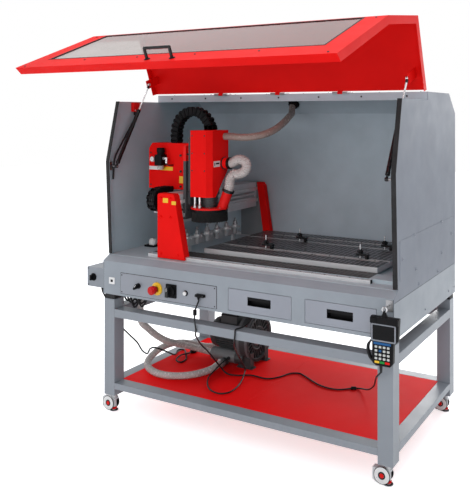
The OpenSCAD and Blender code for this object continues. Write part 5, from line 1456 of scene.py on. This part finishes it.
def by_place(name, base, second, test, rough=0.4, metal=(0.0, 0.0), peel=0.1, grain=420):
    """One part in two colours, the second where the test of the spot's place and normal holds: two-tone
    paint, or a lit and a shaded copy of one paint as painted light and shade. The edges get a painted
    highlight.
    """
    n = Nodes(name)
    here = test(n)
    blotch = n.noise(6, 4)
    one = n.mix(n.spread(blotch), shade(base, 0.93), shade(base, 1.06))
    two = n.mix(n.spread(blotch), shade(second, 0.93), shade(second, 1.06))
    # the edges are painted towards pale grey in patches: a painted highlight
    pale = n.math("MULTIPLY", n.edges(), n.spread(n.noise(60, 3), 0.1, 0.4, 0.35, 0.65))
    mixed = n.mix(here, one, two)
    n.drive("Base Color", n.mix(n.math("MULTIPLY", pale, 0.3), mixed, (0.7, 0.7, 0.7)))
    n.drive("Roughness", n.spread(n.noise(14, 4), rough - 0.06, rough + 0.06))
    n.drive("Normal", n.bump(n.noise(grain, 2.0), peel, 0.4))
    n.set("Specular IOR Level", 0.2)
    if metal != (0.0, 0.0):
        n.drive("Metallic", n.spread(here, *metal, 0, 1))
    return n.material


def beyond(axis, place_mm):
    """Holds for spots beyond a place along an axis, in millimetres about the stand."""
    spot = CENTRE["XYZ".index(axis)] + place_mm * MM
    return lambda n: n.math("GREATER_THAN", n.split(n.place)[axis], spot)


tool_finish = by_place("tool_finish", (0.58, 0.58, 0.59), (0.30, 0.30, 0.31), beyond("Z", deck_z + 96),
                       rough=0.3, metal=(0.4, 0.6))
cap_finish = by_place("estop_finish", (0.52, 0.006, 0.006), (0.80, 0.48, 0.02), beyond("Y", panel_y - 9),
                      rough=0.28)
plate_finish = by_place("plate_finish", (0.060, 0.060, 0.064), RED, beyond("Z", 1223), rough=0.42)
hinge_finish = brushed("hinge_finish", (0.33, 0.33, 0.34), rough=0.36, along=(1, 0, 0), lines=500)
# the base tray's down-facing faces are painted about half as bright: painted shade under it
tray_painted_shade_under = by_place("tray_painted_shade_under", (0.290, 0.322, 0.355), (0.150, 0.160, 0.175),
                       lambda n: n.math("LESS_THAN", n.split(n.normal())["Z"], -UPWARD), rough=0.40)
# all faces but the outer rear face are painted lighter and bluer than the housing's grey: painted light
# inside the housing
wall_painted_light_inside = by_place("wall_painted_light_inside", (0.430, 0.500, 0.550), GREY, beyond("Y", rear_y - 2), rough=0.42)


def inner_face(n):
    """Holds for faces that look towards the middle of the housing."""
    beside = n.math("SUBTRACT", n.split(n.place)["X"], CENTRE.x)
    return n.math("LESS_THAN", n.math("MULTIPLY", n.split(n.normal())["X"], beside), -0.1)


# the inner faces of the side panels are painted lighter and bluer: painted light inside the housing; the
# outer faces are painted darker than the housing's grey: painted shade
side_painted_light_inside = by_place("side_painted_light_inside", (0.235, 0.255, 0.292), (0.380, 0.480, 0.530), inner_face, rough=0.55)

looks = {
    "stand_posts": grey_frame, "stand_rails": grey_frame, "stand_shelf": red_board,
    "rubber_pads_and_trims": black_rubber, "base_tray": tray_painted_shade_under, "side_panels": side_painted_light_inside,
    "rear_shell": wall_painted_light_inside, "deck_plate": deck_coat, "x_rails": rail_steel, "worktable": table_face,
    "tool_rack": silver_coat, "tool_holders": tool_finish, "side_switch_box": grey_frame,
    "brackets": hinge_finish, "blower": cast_case, "lid_shell": red_coat, "lid_window": window_pane,
    "lid_handle": black_gloss,
    "left_strut_cylinder": black_gloss, "right_strut_cylinder": black_gloss, "left_strut_rod": bright_metal,
    "right_strut_rod": bright_metal, "left_drawer": grey_coat, "right_drawer": grey_coat,
    "gantry_uprights": red_upright, "gantry_beam": beam_metal, "carriage_cover": red_coat,
    "carriage_plate": plate_finish, "spindle_cover": red_coat, "spindle_motor": dark_steel,
    "dust_shoe": red_case, "spindle_nose": bright_metal, "estop_button": cap_finish,
    "mode_selector": black_case, "main_switch_knob": black_gloss, "start_button": white_case,
    "side_switch_knob": black_case,
}
for end in ("fl", "fr", "rl", "rr"):
    looks["caster_swivel_" + end] = nylon
    looks["caster_wheel_" + end] = nylon
# how many millimetres the edges of each CAD node are rounded by
ROUNDED = {
    2.5: ("stand_posts",), 2.0: ("stand_rails", "gantry_uprights", "carriage_cover", "spindle_cover"),
    1.6: ("side_switch_box",), 1.2: ("blower",), 1.0: ("stand_shelf", "gantry_beam"),
    0.9: ("left_drawer", "right_drawer"),
    0.8: ("lid_shell", "carriage_plate", "tool_rack", "deck_plate", "mode_selector", "estop_button",
          "caster_swivel_fl", "caster_swivel_fr", "caster_swivel_rl", "caster_swivel_rr"),
    0.7: ("base_tray", "side_panels", "rear_shell"),
    0.6: ("start_button", "main_switch_knob", "side_switch_knob"), 0.5: ("worktable",),
}
widths = {node: width for width, named in ROUNDED.items() for node in named}
for node, finish in looks.items():
    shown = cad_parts[node]
    for slot in shown.material_slots:
        slot.link = "OBJECT"
        slot.material = finish
    weld = shown.modifiers.new("weld", "WELD")
    weld.merge_threshold = 0.02 * MM
    if node in widths:
        round_edges(shown, widths[node], 40)

# -------- stage

floor_mesh = bpy.data.meshes.new("floor")
floor_build = bmesh.new()
bmesh.ops.create_grid(floor_build, x_segments=1, y_segments=1, size=14)
floor_build.to_mesh(floor_mesh)
floor_build.free()
floor = bpy.data.objects.new("floor", floor_mesh)
bpy.context.scene.collection.objects.link(floor)
stone = Nodes("floor_finish")
patches = stone.spread(stone.noise(0.8, 3))
stone.drive("Base Color", stone.mix(patches, (0.86, 0.86, 0.86), (0.84, 0.84, 0.84)))
stone.set("Roughness", 0.9)
stone.set("Specular IOR Level", 0.1)


def glowing(kind, colour, strength=1.0):
    """A node of that kind and light, whose first output is its shader."""
    node = tree.nodes.new(kind)
    node.inputs["Color"].default_value = (*colour, 1)
    node.inputs["Strength"].default_value = strength
    return node.outputs[0]


def seen_directly(plain, shown):
    """Shows one shader to the camera, to mirrors and through glass, and the other to everything else."""
    paths = tree.nodes.new("ShaderNodeLightPath").outputs
    seen = paths["Is Camera Ray"]
    for other in ("Is Glossy Ray", "Is Transmission Ray"):
        either = tree.nodes.new("ShaderNodeMath")
        either.operation = "MAXIMUM"
        tree.links.new(seen, either.inputs[0])
        tree.links.new(paths[other], either.inputs[1])
        seen = either.outputs["Value"]
    mixed = tree.nodes.new("ShaderNodeMixShader")
    for source, socket in zip((seen, plain, shown), mixed.inputs):
        tree.links.new(source, socket)
    return mixed.outputs["Shader"]


# the floor glows a little where it is looked at, so that it is pale and keeps its shadow
tree = stone.tree
dark, glow = glowing("ShaderNodeEmission", (0, 0, 0)), glowing("ShaderNodeEmission", (1, 1, 1), 0.62)
total = stone.add("ShaderNodeAddShader")
stone.link(stone.shader.outputs["BSDF"], total.inputs[0])
stone.link(seen_directly(dark, glow), total.inputs[1])
stone.link(total.outputs["Shader"], tree.nodes["Material Output"].inputs["Surface"])
floor_mesh.materials.append(stone.material)
floor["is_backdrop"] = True

# the world is white where it is looked at and lights the object softly
world = bpy.data.worlds.new("studio")
world.use_nodes = True
bpy.context.scene.world = world
tree = world.node_tree
tree.nodes.remove(tree.nodes["Background"])
soft_light = glowing("ShaderNodeBackground", (0.93, 0.95, 1.0), 0.76)
white = glowing("ShaderNodeBackground", (1, 1, 1))
tree.links.new(seen_directly(soft_light, white), tree.nodes["World Output"].inputs["Surface"])


def lamp(name, place, aim, size, power):
    light = bpy.data.lights.new(name, "AREA")
    light.shape = "RECTANGLE"
    light.size, light.size_y = size
    light.energy = power
    obj = bpy.data.objects.new(name, light)
    bpy.context.scene.collection.objects.link(obj)
    obj.location = place
    obj.rotation_euler = (Vector(aim) - Vector(place)).to_track_quat("-Z", "Y").to_euler()
    return obj


lamp("key", (1.8, -3.4, 3.6), (0, 0, 0.9), (2.4, 2.0), 24)
lamp("front", (0.3, -4.2, 1.8), (0, 0.2, 0.9), (2.4, 1.0), 32)
lamp("top", (0.2, 0.2, 4.2), (0, 0, 0.8), (3.2, 2.6), 40)
lamp("back", (0.4, 3.9, 1.7), (0, 0, 0.3), (3.0, 1.0), 72)
lamp("left", (-3.9, 0.2, 1.6), (0, 0, 0.3), (2.4, 1.0), 38)

low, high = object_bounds()
